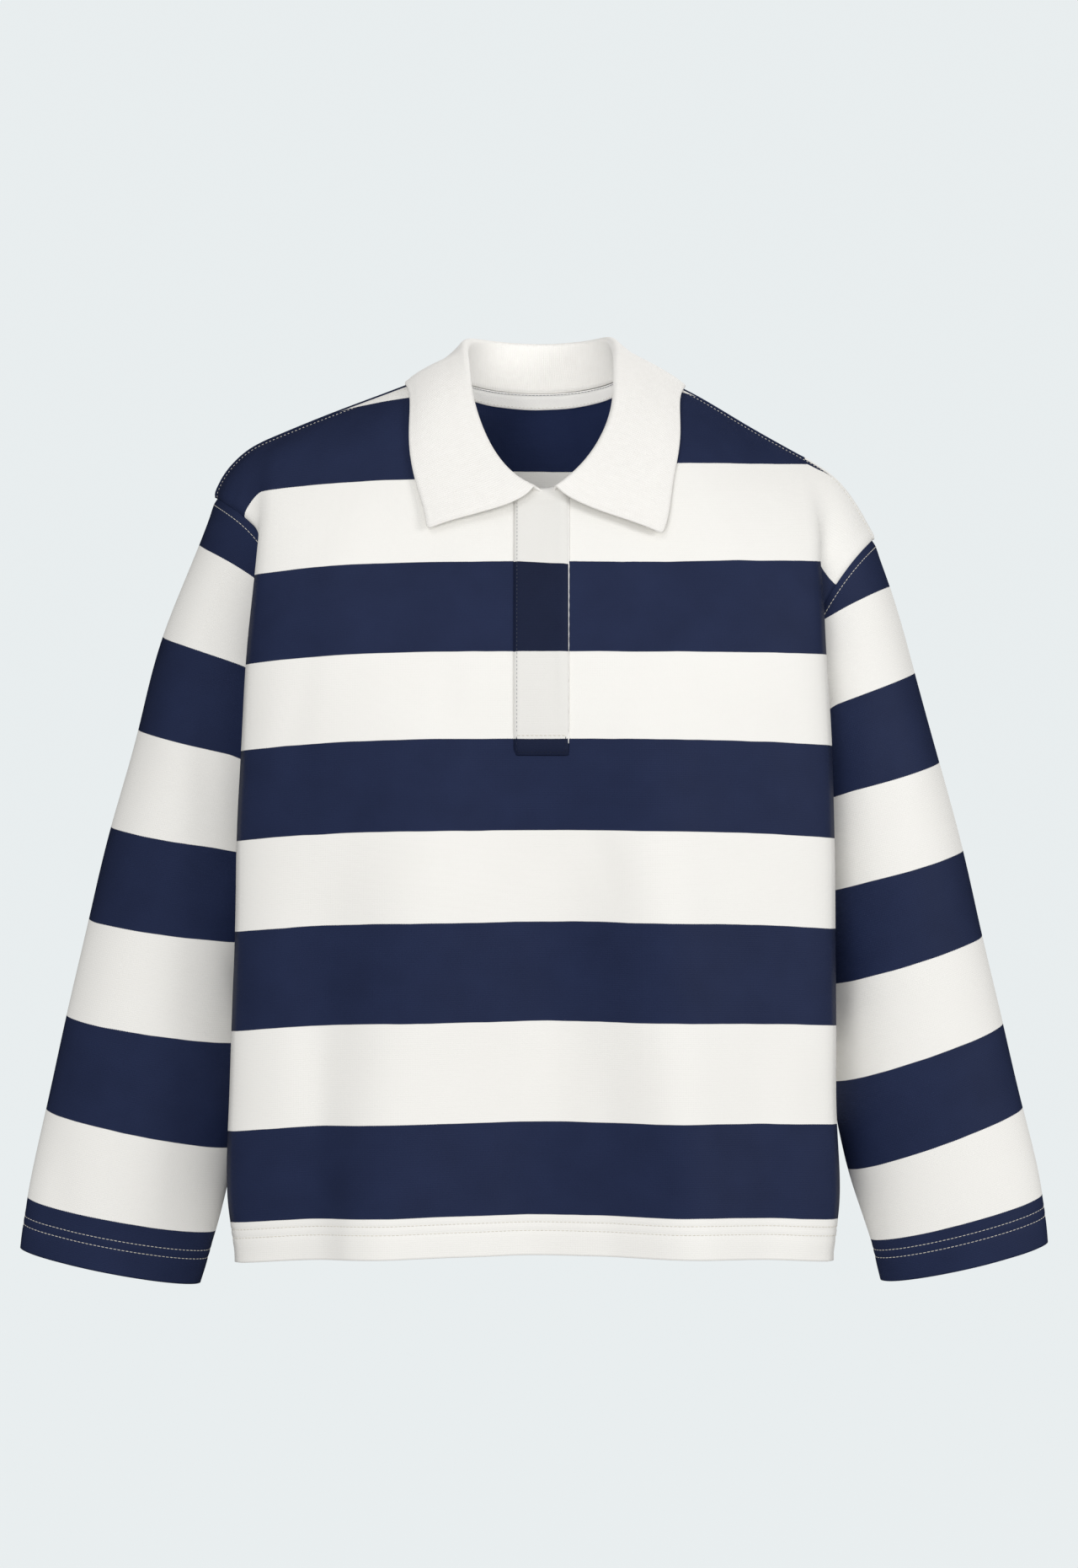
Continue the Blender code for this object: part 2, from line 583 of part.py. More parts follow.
def border(grid, closed):
    """The grid's sewn edges: each place, the place next to it inside, and its neighbours on the edge."""
    rows, columns = grid.shape[:2]
    if closed:
        return [((0, j), (1, j), (0, j - 1), (0, (j + 1) % columns)) for j in range(columns)]
    places = []
    for j, inside in ((0, 1), (columns - 1, columns - 2)):
        places += [((i, j), (i, inside), (max(i - 1, 0), j), (i + 1, j)) for i in range(rows - 1)]
    top = rows - 1
    return places + [((top, j), (top - 1, j), (top, max(j - 1, 0)), (top, min(j + 1, columns - 1)))
                     for j in range(columns)]


def sew(grids, out):
    """Draws each piece back from its seams, and gives the pieces that meet one direction there."""
    meetings = {}
    for name, grid in grids.items():
        is_sleeve = name.startswith("sleeve")
        for place, inside, before, after in border(grid, is_sleeve):
            line = unit(grid[after] - grid[before])
            into = across_to(grid[inside] - grid[place], line)
            spot = tuple(np.round(grid[place], 2) + 0.0)
            piece = {"name": name, "place": place, "own": out[name][place], "into": into}
            piece["panel"] = not is_sleeve
            meetings.setdefault(spot, []).append(piece)
    for pieces in meetings.values():
        panels = sum(p["panel"] for p in pieces)
        for p in pieces:
            p["share"] = 1 / panels if p["panel"] else 1.0
        middle = unit(sum(p["own"] * p["share"] for p in pieces))
        if len(pieces) > 1:
            facing = sum(np.dot(a["own"], b["into"]) for a in pieces for b in pieces if a is not b)
            turned = sum(p["into"] * p["share"] for p in pieces) * math.copysign(1, facing)
            middle = unit(sum(p["own"] * p["share"] for p in pieces) + turned)
        for p in pieces:
            name, place = p["name"], p["place"]
            grids[name][place] = grids[name][place] + across_to(p["into"], middle) * SEAM_GAP / 2
            out[name][place] = middle / max(LEAST_MITRE, np.dot(middle, p["own"]))


def sewn_grids():
    """The outer faces of the panels and sleeves, and the direction off the cloth at each point."""
    grids = {"front_body": panel(False), "back_body": panel(True)}
    grids["sleeve_right"], grids["sleeve_left"] = sleeve(RIGHT), sleeve(LEFT)
    out = {name: normals(grid, name.startswith("sleeve")) for name, grid in grids.items()}
    for name in ("back_body", "sleeve_right"):
        out[name] = -out[name]
    sew(grids, out)
    return grids, out


def placket_slit(front):
    """The front panel's cells that the placket opens, under the strip down to the slit's end."""
    level = (SLIT_END - HEM) * ROWS_PER_MM
    first = int(np.argmin(np.abs(panel_rows() - level)))
    left, right = (int(np.argmin(np.abs(front[-1, :, 0] - x))) for x in SLIT_SIDES)
    return [(r, c) for r in range(first, len(front) - 1) for c in range(left, right)]


def panels_and_sleeves(grids, out):
    holes = placket_slit(grids["front_body"])
    for name, grid in grids.items():
        is_sleeve = name.startswith("sleeve")
        thick = np.full((len(grid), 1, 1), JERSEY)
        thick[-2:] += TURN_UP * is_sleeve
        thick[:2] += TURN_UP * (not is_sleeve)
        inner = grid - out[name] * thick
        slit = holes if name == "front_body" else ()
        wall_object(name, grid, inner, NAVY, CLOTH_ROUGHNESS, closed=is_sleeve, holes=slit)


def neck_pieces(front, back):
    shape = collar([outer_faces(front, False), outer_faces(back, True)])
    wall_object("collar", shape, shape - normals(shape) * RIB, CREAM, CLOTH_ROUGHNESS)
    band = tape()
    inside = normals(band)
    band = band + inside * (JERSEY + 2 * LAY_GAP)
    wall_object("neck_tape", band, band + inside * TAPE, CREAM, CLOTH_ROUGHNESS)


def placket():
    for name, lift, wall in (
        ("placket_upper", LAY_GAP + PLACKET_FOLD, PLACKET_FOLD),
        ("placket_under", -JERSEY - LAY_GAP, UNDER_STRIP),
    ):
        grid = strip(lift)
        wall_object(name, grid, grid - normals(grid) * wall, NAVY, CLOTH_ROUGHNESS)


def main():
    for obj in list(bpy.data.objects):
        bpy.data.objects.remove(obj)
    bpy.context.scene.collection.children.link(bpy.data.collections.new("polo shirt"))
    grids, out = sewn_grids()
    panels_and_sleeves(grids, out)
    neck_pieces(grids["front_body"], grids["back_body"])
    placket()


main()
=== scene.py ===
# Long-sleeved striped polo shirt, standing open in its worn shape
# Tables are in mm, the front is at -y, and the wearer's left is at +x

import math

import bpy
import numpy as np
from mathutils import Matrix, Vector
from mathutils.bvhtree import BVHTree


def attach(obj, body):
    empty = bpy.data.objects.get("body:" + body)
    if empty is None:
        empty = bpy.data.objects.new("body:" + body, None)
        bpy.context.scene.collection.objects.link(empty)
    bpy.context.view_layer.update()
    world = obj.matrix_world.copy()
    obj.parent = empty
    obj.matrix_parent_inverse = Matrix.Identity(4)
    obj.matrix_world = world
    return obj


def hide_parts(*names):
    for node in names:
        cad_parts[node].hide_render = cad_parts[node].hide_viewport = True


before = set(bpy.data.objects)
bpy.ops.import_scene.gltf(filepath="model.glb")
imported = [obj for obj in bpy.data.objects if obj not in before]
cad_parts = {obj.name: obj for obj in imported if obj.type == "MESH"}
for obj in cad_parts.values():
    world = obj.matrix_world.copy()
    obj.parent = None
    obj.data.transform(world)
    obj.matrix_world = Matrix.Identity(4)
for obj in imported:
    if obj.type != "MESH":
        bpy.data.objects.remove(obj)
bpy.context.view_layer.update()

mm = 0.001
right, left = 0, 1  # the wearer's sides
sideSign = (-1, 1)
sideName = ("right", "left")

cloth = {
    "jersey": 1.15,  # wall of the body and sleeves
    "turnUp": 0.9,  # what a turned hem adds
    "turnUpEnd": (26.0, -1.5),  # where the turned part ends, and over how many mm
    "hemDepth": 25.0,
    "leastMitre": 0.8,
    "rim": 0.35,  # how round a cut or folded edge is
    "seamGap": 0.06,
    "seamTurn": 2.2,  # mm over which the cloth turns into a seam
    # ridges and furrows: rise, how far from the seam, and half width
    "seam": (-0.75, 0, 1.5),
    "allowance": (0.35, 4.5, 3.4),  # the raised band over the seam's turned edges
    "shoulderRidge": (2.3, 3, 1.8),
}

# curves and small helpers


def spline(stations, values, at):
    x, y, at = np.asarray(stations, float), np.asarray(values, float), np.asarray(at, float)
    step = np.diff(x)
    system, side = np.eye(len(x)), np.zeros(len(x))
    for i in range(1, len(x) - 1):
        system[i, i - 1 : i + 2] = step[i - 1], 2 * (step[i - 1] + step[i]), step[i]
        side[i] = 6 * ((y[i + 1] - y[i]) / step[i] - (y[i] - y[i - 1]) / step[i - 1])
    bend = np.linalg.solve(system, side)
    i = np.clip(np.searchsorted(x, at) - 1, 0, len(step) - 1)
    a, b = (x[i + 1] - at) / step[i], (at - x[i]) / step[i]
    return a * y[i] + b * y[i + 1] + ((a**3 - a) * bend[i] + (b**3 - b) * bend[i + 1]) * step[i] ** 2 / 6


def readTable(table, name, at):
    k = table["columns"].index(name)
    stations = [row[0] for row in table["rows"]]
    return spline(stations, [row[k] for row in table["rows"]], np.clip(at, stations[0], stations[-1]))


def alongPath(points, at):
    points = np.asarray(points, float)
    length = np.concatenate([[0], np.cumsum(np.linalg.norm(np.diff(points, axis=0), axis=1))])
    return np.stack([spline(length / length[-1], points[:, k], at) for k in range(3)], -1)


def bezier(a, b, c, d, at):
    at = np.asarray(at)[..., None]
    return a * (1 - at) ** 3 + 3 * b * at * (1 - at) ** 2 + 3 * c * at**2 * (1 - at) + d * at**3


def unit(vectors):
    return vectors / np.maximum(np.linalg.norm(vectors, axis=-1, keepdims=True), 1e-9)


def squareTo(vectors, line):
    return unit(vectors - np.sum(vectors * line, -1, keepdims=True) * line)


def smoothStep(x):
    x = np.clip(x, 0, 1)
    return x * x * (3 - 2 * x)


def ramp(x, start, over):
    # 0 before the start and 1 past it by this much; the other way round where it is below 0
    return smoothStep((x - start) / over)


def bell(x, width):
    return np.exp(-((x / width) ** 2))


def swell(shape, distance):
    # a rounded ridge or furrow along a line
    rise, at, width = shape
    return rise * bell(distance - at, width)


def nearest(values, value):
    return int(np.argmin(np.abs(np.asarray(values) - value)))


def arcLength(grid, axis):
    # length along a grid from its first row or column
    step = np.linalg.norm(np.diff(grid, axis=axis), axis=-1)
    zero = np.zeros_like(np.take(step, [0], axis=axis))
    return np.concatenate([zero, np.cumsum(step, axis=axis)], axis=axis)


def gridNormals(grid, closed=False):
    if closed:
        wide = np.concatenate([grid[:, -1:], grid, grid[:, :1]], 1)
        along = (wide[:, 2:] - wide[:, :-2]) / 2
    else:
        along = np.gradient(grid, axis=1)
    return unit(np.cross(along, np.gradient(grid, axis=0)))


# the body

# half widths out to the side folds, and how deep the front and the back are
body = {
    "columns": ("height", "right", "left", "front", "frontEdge", "back", "backEdge"),
    "rows": (
        (-608, 213, 206, -100, -58, 97, 66),
        (-580, 217, 210, -101, -59, 98, 67),
        (-515, 217, 209, -103, -61, 99, 69),
        (-446, 214, 208, -107, -63, 99, 70),
        (-377, 212, 207, -111, -65, 98, 71),
        (-314, 211, 206, -115, -67, 97, 72),
        (-251, 208, 204, -117, -67, 98, 72),
        (-191, 204, 200, -113, -66, 100, 70),
        (-140, 199, 198, -98, -60, 98, 68),
        (-90, 195, 194, -78, -50, 90, 62),
    ),
    "hem": -608,
    "chest": -191,
    "chestRow": 0.73,  # share of the rows below the chest
    "roundness": 2.6,
    "lean": {"front": (0.05, -0.02), "back": (0.0, 0.08)},
    "leanPower": 4,
    "chestHandle": 0.40,
    "taperPower": 3,
}
rowsPerMm = body["chestRow"] / (body["chest"] - body["hem"])


def rowAt(height):
    return (height - body["hem"]) * rowsPerMm


# how far the stripes fall from the middle to the side folds
droop = {
    "columns": ("height", "right", "left"),
    "rows": ((-608, 8, 7), (-515, 9, 4), (-377, 8, 6), (-251, 8, 4), (-191, 8, 1), (-128, 8, -2),
             (-66, 8, -4)),
    "power": 3.0,
}

# side seams, in the hollow beside the arm
sideSeam = {
    "columns": ("height", "right_x", "right_y", "left_x", "left_y"),
    "rows": (
        (-616, 209, 4, 201, -30),
        (-590, 209, 4, 205, -28),
        (-553, 203, 4, 205, -14),
        (-515, 195, 5, 197, 2),
        (-446, 184, 5, 186, 5),
        (-377, 173, 5, 176, 5),
        (-300, 161, 5, 165, 5),
        (-262, 157, 5, 161, 5),
        (-233, 160, 5, 165, 5),
    ),
}

# shoulder seams from the neck out, then round the ball of the shoulder
shoulder = {
    "seam": (
        ((66, -8, 12), (102, -11, -2.5), (148, -12, -20), (192, -13, -38.2)),
        ((66, 1, 14), (103, 3, -1), (144, 4, -24.5), (190, 5, -50.2)),
    ),
    "ball": (
        ((192, -13, -38.2), (203, -13, -44.2), (212, -12, -51.3), (220, -10, -60), (226, -8, -70)),
        ((190, 5, -50.2), (201, 5, -57), (211, 5, -65), (219.5, 5, -75), (229, 5, -90)),
    ),
    "crownRow": 0.80,
}

neck = {"half": 66, "front": (-80, -79), "back": (1, 62), "powers": (0.9, 1.1)}

# how steeply a panel comes up to its top edge, and how far that slope carries down
topSlope = {
    "columns": ("share", "degrees", "reach"),
    "rows": ((0, 63, 0.34), (0.3, 46, 0.30), (0.45, 27, 0.25), (0.7, 19, 0.25), (1, 17, 0.28)),
}

# loops round the arm: outer top, inner side, half depth, and how evenly it falls
ringColumns = ("outX", "outY", "outZ", "inX", "inY", "inZ", "depth", "ease")
armhole = {
    "rings": (
        (229, -6, -79, 160, 5, -233, 46, 0.30),
        (238, 5, -108, 165, 5, -240, 46, 0.50),
    ),
    "power": (4.0, 2.3),
    "row": 0.665,
    "pace": 0.86,
    "beforeFold": 0.985,
    "tuck": 0.8,
    "tuckLean": 0.7,
    "handles": (0.42, 0.34),
}

# soft ridges that fall from the chest and from the shoulder blades
ridge = {
    "columns": ("hemX", "topX", "topZ", "rise", "halfWidth"),
    "front": ((-121, -88, -170, 9, 40), (106, 46, -170, 10, 40)),
    "back": ((-96, -70, -150, 8, 42), (12, 6, -260, 5, 34), (118, 82, -150, 8, 42)),
    "widths": (1.35, 0.85),
    "power": 0.8,
    "fade": 8,
}


def ring(side, shape, angle):
    r = dict(zip(ringColumns, shape))
    fall = (1 - np.cos(angle)) / 2
    sink = r["ease"] * fall + (1 - r["ease"]) * fall ** armhole["power"][side]
    x = r["outX"] + (r["inX"] - r["outX"]) * fall
    y = r["outY"] + (r["inY"] - r["outY"]) * fall - r["depth"] * np.sin(angle)
    z = r["outZ"] + (r["inZ"] - r["outZ"]) * sink
    return np.stack([sideSign[side] * x, y, z], -1)


def armholeAngle(row):
    share = np.clip((row - armhole["row"]) / (1 - armhole["row"]), 0, 1)
    return math.pi * (1 - share) ** armhole["pace"]


def sideEdge(side, row, back):
    start = sideSeam["rows"][0][0]
    shape = armhole["rings"][side]
    height = start + (shape[ringColumns.index("inZ")] - start) * np.clip(row / armhole["row"], 0, 1)
    across = readTable(sideSeam, sideName[side] + "_x", height)
    depth = readTable(sideSeam, sideName[side] + "_y", height)
    seam = np.stack([sideSign[side] * across, depth, height], -1)
    seam = seam + (ring(side, shape, math.pi) - seam) * (row >= armhole["row"])[..., None]
    angle = armholeAngle(row) * (-1 if back else 1)
    return np.where((row > armhole["row"])[..., None], ring(side, shape, angle), seam)


def foldTop(side):
    return shoulder["seam"][side][-1][0]


def neckSeam(side, across, back):
    level = np.sqrt(np.clip(1 - (across / neck["half"]) ** 2, 0, 1))
    corner = shoulder["seam"][side][0]
    height, depth = neck["back"] if back else neck["front"]
    y = corner[1] + (depth - corner[1]) * level ** neck["powers"][0]
    z = corner[2] + (height - corner[2]) * level ** neck["powers"][1]
    return np.stack([sideSign[side] * across, y, z], -1)


def topEdge(side, share, back):
    across = share * foldTop(side)
    seam = np.asarray(shoulder["seam"][side], float)
    at = np.clip(across, seam[0, 0], seam[-1, 0])
    y, z = spline(seam[:, 0], seam[:, 1], at), spline(seam[:, 0], seam[:, 2], at)
    sewn = np.stack([sideSign[side] * at, y, z], -1)
    inside = (across < neck["half"] - 1e-6)[..., None]
    return np.where(inside, neckSeam(side, np.minimum(across, neck["half"]), back), sewn)


def ridges(across, height, back):
    out = np.zeros(np.broadcast(across, height).shape)
    for row in ridge["back"] if back else ridge["front"]:
        r = dict(zip(ridge["columns"], row))
        fall = np.clip((r["topZ"] - height) / (r["topZ"] - body["hem"]), 0, 1)
        middle = r["topX"] + (r["hemX"] - r["topX"]) * fall
        width = r["halfWidth"] * (ridge["widths"][0] + (ridge["widths"][1] - ridge["widths"][0]) * fall)
        out += r["rise"] * fall ** ridge["power"] / (1 + ((across - middle) / width) ** 2)
    return out


def torso(side, share, row, back):
    # share runs 0 to 1 from the middle to the side fold, row 0 to 1 from the hem up
    share, row = np.broadcast_arrays(np.asarray(share, float), np.asarray(row, float))
    name, face = sideName[side], "back" if back else "front"
    height = body["hem"] + (body["chest"] - body["hem"]) * np.clip(row / body["chestRow"], 0, 1)
    bow = 1 - np.sqrt(1 - np.clip(share, 0, 1) ** body["roundness"])
    middle, edge = readTable(body, face, height), readTable(body, face + "Edge", height)
    depth = middle + (edge - middle) * bow
    height = height - readTable(droop, name, height) * share ** droop["power"]
    # above the chest each column bends over to its place on the top edge
    top = topEdge(side, share, back)
    rise = top[..., 2] - height
    slope = np.radians(readTable(topSlope, "degrees", share))
    handle = readTable(topSlope, "reach", share) * np.hypot(rise, top[..., 1] - depth)
    handle = handle * (-1 if back else 1)
    start = np.stack([depth, height], -1)
    atMiddle, atFold = body["lean"][face]
    lean = atMiddle + (atFold - atMiddle) * share ** body["leanPower"]
    first = np.stack([depth + rise * lean, height + rise * body["chestHandle"]], -1)
    second = top[..., 1:] - np.stack([handle * np.cos(slope), np.abs(handle) * np.sin(slope)], -1)
    up = np.clip((row - body["chestRow"]) / (1 - body["chestRow"]), 0, 1)
    yz = bezier(start, first, second, top[..., 1:], up)
    width = readTable(body, name, yz[..., 1])
    across = sideSign[side] * share * (width + (foldTop(side) - width) * up ** body["taperPower"])
    out = ridges(across, yz[..., 1], back) * (1 - share ** ridge["fade"])
    return np.stack([across, yz[..., 0] + (out if back else -out), yz[..., 1]], -1)


def flank(side, share, row, back):
    # share runs 0 to 1 from the side fold to the side seam or the armhole
    share, row = np.broadcast_arrays(np.asarray(share, float), np.asarray(row, float))
    ones, zeros = np.ones_like(row), np.zeros_like(row)
    toward = -1 if back else 1
    shape = armhole["rings"][side]
    fold, before = torso(side, ones, row, back), torso(side, armhole["beforeFold"] * ones, row, back)
    end = sideEdge(side, row, back)
    gap = end - fold
    reach = np.linalg.norm(gap, axis=-1, keepdims=True)
    # the cloth turns in sharply at the underarm and less and less towards the shoulder
    tuck = np.clip((1 - row) / (1 - armhole["row"]), 0, 1)[..., None]
    inward = np.stack([-sideSign[side] * ones, toward * ones, zeros], -1) * armhole["tuckLean"]
    leave = unit(unit(fold - before) * (1 - armhole["tuck"] * tuck) + inward * armhole["tuck"] * tuck)
    straight = np.stack([zeros, toward * ones, zeros], -1)
    arrive = unit(unit(gap) * (1 - tuck**2) + straight * tuck**2)
    hook, landing = leave * reach * armhole["handles"][0], arrive * reach * armhole["handles"][1]
    curve = bezier(fold, fold + hook, end - landing, end, share)
    # near the top it follows the ball of the shoulder
    foldEnd, corner = torso(side, ones, ones, back), ring(side, shape, zeros)
    ball = alongPath(shoulder["ball"][side] + (shape[:3],), share) * (sideSign[side], 1, 1)
    bulge = ball - (foldEnd + (corner - foldEnd) * share[..., None])
    crown = np.clip((row - shoulder["crownRow"]) / (1 - shoulder["crownRow"]), 0, 1)[..., None] ** 2
    return curve + (fold + gap * share[..., None] + bulge - curve) * crown


# how finely the cloth is divided
division = {
    "hemRows": (0, 1.2, 3, 6, 10, 14, 15.8, 17, 18.2, 20, 21.8, 23, 24.2, 25.4, 27, 29.5),  # mm above the hem
    "plainStep": 4.2,
    "armholeSteps": 52,
    "seamSteps": (0.55, 0.25, 0.1, 0),  # shares of the last armhole step, towards the shoulder seam
    "neckSteps": 20,
    "shoulderSteps": 34,
    "flankShares": tuple(k / 17 for k in range(1, 16)) + (0.925, 0.96, 0.983, 1.0),
    "sleeveStart": (0, 0.7, 1.5, 2.5, 3.4, 4.3, 6.2, 8.8),
    "sleeveStep": 4.0,
    "cuffRings": (29, 27, 25.4, 24, 22.6, 21, 19.4, 18, 16.6, 14, 10.5, 7, 4, 1.4, 0),  # mm above the edge
}

slit = {"sides": (-11, 13), "end": -246}


def panelRows():
    d = division
    low = [h * rowsPerMm for h in d["hemRows"]]
    count = round((armhole["row"] - low[-1]) / (d["plainStep"] * rowsPerMm))
    plain = list(np.linspace(low[-1], armhole["row"], count + 1)[1:-1])
    plain[nearest(plain, rowAt(slit["end"]))] = rowAt(slit["end"])
    steps = [math.pi * k / d["armholeSteps"] for k in range(d["armholeSteps"], 0, -1)]
    steps += [math.pi / d["armholeSteps"] * s for s in d["seamSteps"]]
    upper = armhole["row"] + (1 - armhole["row"]) * (1 - (np.array(steps) / math.pi) ** (1 / armhole["pace"]))
    return np.array(low + plain + list(upper))


def sideShares(side):
    # columns from the middle to the side fold, one of them at the edge of the placket's slit
    d, cut = division, abs(slit["sides"][side])
    across = [neck["half"] * math.sin(math.pi / 2 * k / d["neckSteps"]) for k in range(d["neckSteps"] + 1)]
    across[nearest(across, cut)] = cut
    across += [neck["half"] + (foldTop(side) - neck["half"]) * s
               for s in np.linspace(0, 1, d["shoulderSteps"] + 1)[1:]]
    return np.array(across) / foldTop(side)


cornerEase = {"reach": 185.0, "half": 27, "width": 10.0, "fromTop": (2, 28), "away": (44, -22)}


def softenCorners(grid):
    # the neck's corners would press a line down the chest, so the cloth is eased across them
    c = cornerEase
    even = np.arange(-c["reach"], c["reach"] + 1)
    kernel = bell(np.arange(-c["half"], c["half"] + 1), c["width"])
    kernel /= kernel.sum()
    fromHem = arcLength(grid, 0)
    away = np.abs(np.abs(grid[..., 0]) - neck["half"])
    weight = ramp(fromHem[-1:] - fromHem, *c["fromTop"]) * ramp(away, *c["away"])
    for row, share in zip(grid, weight):
        for k in (1, 2):
            flat = np.interp(even, row[:, 0], row[:, k])
            eased = np.convolve(np.pad(flat, c["half"], mode="edge"), kernel, "valid")
            row[:, k] += share * (np.interp(row[:, 0], even, eased) - row[:, k])
    return grid


def panel(back):
    # a row of points from -x to +x at each level from the hem up
    rows = panelRows()[:, None]
    halves = []
    for side in (right, left):
        inner = torso(side, sideShares(side)[None, :], rows, back)
        outer = flank(side, np.array(division["flankShares"])[None, :], rows, back)
        halves.append(np.concatenate([inner, outer], 1))
    return softenCorners(np.concatenate([halves[right][:, :0:-1], halves[left]], 1))


# the stripes: cloth height in mm above the hem at each point

stripes = {
    "pitch": 66,
    "first": 28,  # the hem's own pale band
    # where the stripe edges lie on the front and the back
    "edges": ((-608, 0), (-580, 28), (-515.5, 94), (-446, 160), (-377, 226), (-314, 292), (-251, 358),
              (-191, 424), (-128.4, 490), (-69.5, 556)),
    "backTop": -54,
    "topPace": (0.86, 0.80),  # the cloth is stretched a little over the shoulders, front and back
    # above the chest the front's stripes climb towards the wearer's left
    "climb": {"rise": 11, "fromX": -70, "toX": 110, "fromZ": -122, "toZ": -66},
    # degrees round the armhole from its outer top to the underarm, and the cloth height there
    "armhole": (
        ((0, 606), (69, 556), (125, 460), (180, 380)),
        ((0, 540), (78.5, 490), (130, 425), (180, 380)),
    ),
    "flankPace": ((0, 0.1, 1), (0, 0.04, 1)),  # how the height passes from the side fold to the seam
    # cloth height at each loop of a sleeve, from the armhole to the cuff
    "sleeve": (593, 556, 490, 424, 358, 292, 226, 160, 94, 58),
    # how much higher each stripe edge stands at the body than the cloth's own rounds do
    "sleeveClimb": ((6, 18.5, 21, 15, 8, 8, 5, 0, 0, 0), (31, 35.7, 21, 10, 4, 2, 0, 0, 0, 0)),
    "climbEnd": {"innerX": 201, "least": 30, "most": 1.5},  # where that climb is reached
    "straightTo": 0.64,  # share of the way round the front
}


def stripeHeights(grid, back):
    rows = panelRows()
    angle = np.degrees(armholeAngle(rows))
    edges = np.array(stripes["edges"], float)
    if back:
        edges[-1, 0] = stripes["backTop"]
    top = edges[-1, 0]
    flanks, columns = len(division["flankShares"]), grid.shape[1]
    result = np.zeros(grid.shape[:2])
    for side in (right, left):
        share = sideShares(side)
        count = flanks + len(share)
        order = np.arange(count)[::-1] if side == right else np.arange(columns - count, columns)
        inner, outer = order[: len(share)], order[len(share) :]
        points = grid[:, inner]
        x, z = points[..., 0], points[..., 2]
        fall = readTable(droop, sideName[side], z) * share ** droop["power"]
        if not back:
            c = stripes["climb"]
            lift = ramp(z, c["fromZ"], c["toZ"] - c["fromZ"]) * c["rise"]
            fall = fall - lift * ramp(x, c["fromX"], c["toX"] - c["fromX"])
        level = z + fall
        height = np.interp(level, edges[:, 0], edges[:, 1])
        # over the shoulder the height goes by the length along the cloth
        arc = arcLength(points, 0)
        for j in range(len(inner)):
            over = np.flatnonzero(level[:, j] > top)
            if len(over):
                k = over[0]
                part = (top - level[k - 1, j]) / (level[k, j] - level[k - 1, j])
                start = arc[k - 1, j] + (arc[k, j] - arc[k - 1, j]) * part
                height[k:, j] = edges[-1, 1] + (arc[k:, j] - start) * stripes["topPace"][back]
        result[:, inner] = height
        atFold = height[:, -1]
        seam = np.array(stripes["armhole"][side], float)
        seam[-1, 1] = np.interp(armhole["row"], rows, atFold)
        atSeam = np.where(rows > armhole["row"], np.interp(angle, seam[:, 0], seam[:, 1]), atFold)
        pace = np.interp(division["flankShares"], *stripes["flankPace"])
        result[:, outer] = atFold[:, None] + (atSeam - atFold)[:, None] * pace[None, :]
    return result


def acrossMm(grid):
    # mm across from the middle, along each row
    arc = arcLength(grid, 1)
    middle = nearest(grid[0, :, 0], 0)
    return arc - arc[:, middle : middle + 1]


# folds, placed one by one

# straight soft folds: from one end to the other, half width, and rise (below 0 is a trough)
foldColumns = ("x0", "z0", "x1", "z1", "width", "rise")
foldFade = 2.2  # how soon a fold comes up from its ends
foldsRunOut = -600  # folds that end lower than this run out over the hem
bodyFolds = {
    "front": (
        (-62, -205, -106, -640, 36, 8.0),
        (24, -236, 2, -640, 34, -9.0),
        (78, -176, 106, -640, 32, 9.0),
        (-142, -300, -166, -640, 24, -4.5),
        (172, -230, 184, -640, 20, -1.4),
        (-66, -178, -62, -262, 13, -1.0),
        (-108, -60, -168, -196, 17, 1.3),
        (-150, -150, -186, -330, 12, -1.2),
        (104, -62, 172, -205, 16, 1.2),
        (197, -70, 196, -132, 7, 1.6),
        (160, -170, 188, -330, 11, -1.0),
        (-20, -262, -52, -372, 10, -0.8),
        (22, -262, 58, -380, 11, -0.9),
        (-172, -380, -176, -600, 14, 1.3),
        (-150, -420, -150, -606, 9, -0.8),
        (-22, -430, -16, -606, 17, -1.2),
        (-66, -470, -72, -606, 12, 0.9),
        (44, -440, 48, -606, 13, -1.1),
        (150, -400, 160, -606, 12, -1.2),
        (176, -430, 184, -606, 9, 0.9),
        (-128, -500, -132, -606, 6, 0.8),
    ),
    "back": (
        (-44, -260, -42, -640, 30, -5.0),
        (62, -250, 64, -640, 30, -5.0),
        (-92, -170, -112, -640, 32, 3.5),
        (106, -200, 122, -640, 30, 3.5),
        (-30, -40, -150, -150, 18, 1.4),
        (34, -44, 150, -160, 18, 1.4),
        (-150, -140, -178, -300, 13, -1.8),
        (150, -150, 180, -310, 13, -1.7),
        (-90, -190, -130, -360, 16, 1.6),
        (86, -200, 140, -380, 15, 1.5),
        (-40, -300, -52, -606, 14, -1.8),
        (58, -320, 66, -606, 15, -1.7),
        (-140, -360, -156, -606, 12, -1.6),
        (160, -380, 168, -606, 12, -1.5),
        (-10, -60, -4, -200, 20, -0.9),
        (-176, -420, -182, -606, 10, 1.2),
        (108, -500, 112, -606, 8, 1.0),
    ),
}


def foldBand(fold, a, b, dx, dz, runsOut):
    # a and b are measured from the fold's start; it fades at its ends unless it runs out over the edge
    t = np.clip((a * dx + b * dz) / (dx * dx + dz * dz), 0, 1)
    fade = smoothStep(foldFade * t) * (1 if runsOut else smoothStep(foldFade * (1 - t)))
    return fold["rise"] * fade * bell(np.hypot(a - t * dx, b - t * dz), fold["width"])


def foldRise(x, z, table):
    out = np.zeros(x.shape)
    for row in table:
        f = dict(zip(foldColumns, row))
        dx, dz = f["x1"] - f["x0"], f["z1"] - f["z0"]
        out += foldBand(f, x - f["x0"], z - f["z0"], dx, dz, f["z1"] < foldsRunOut)
    return out


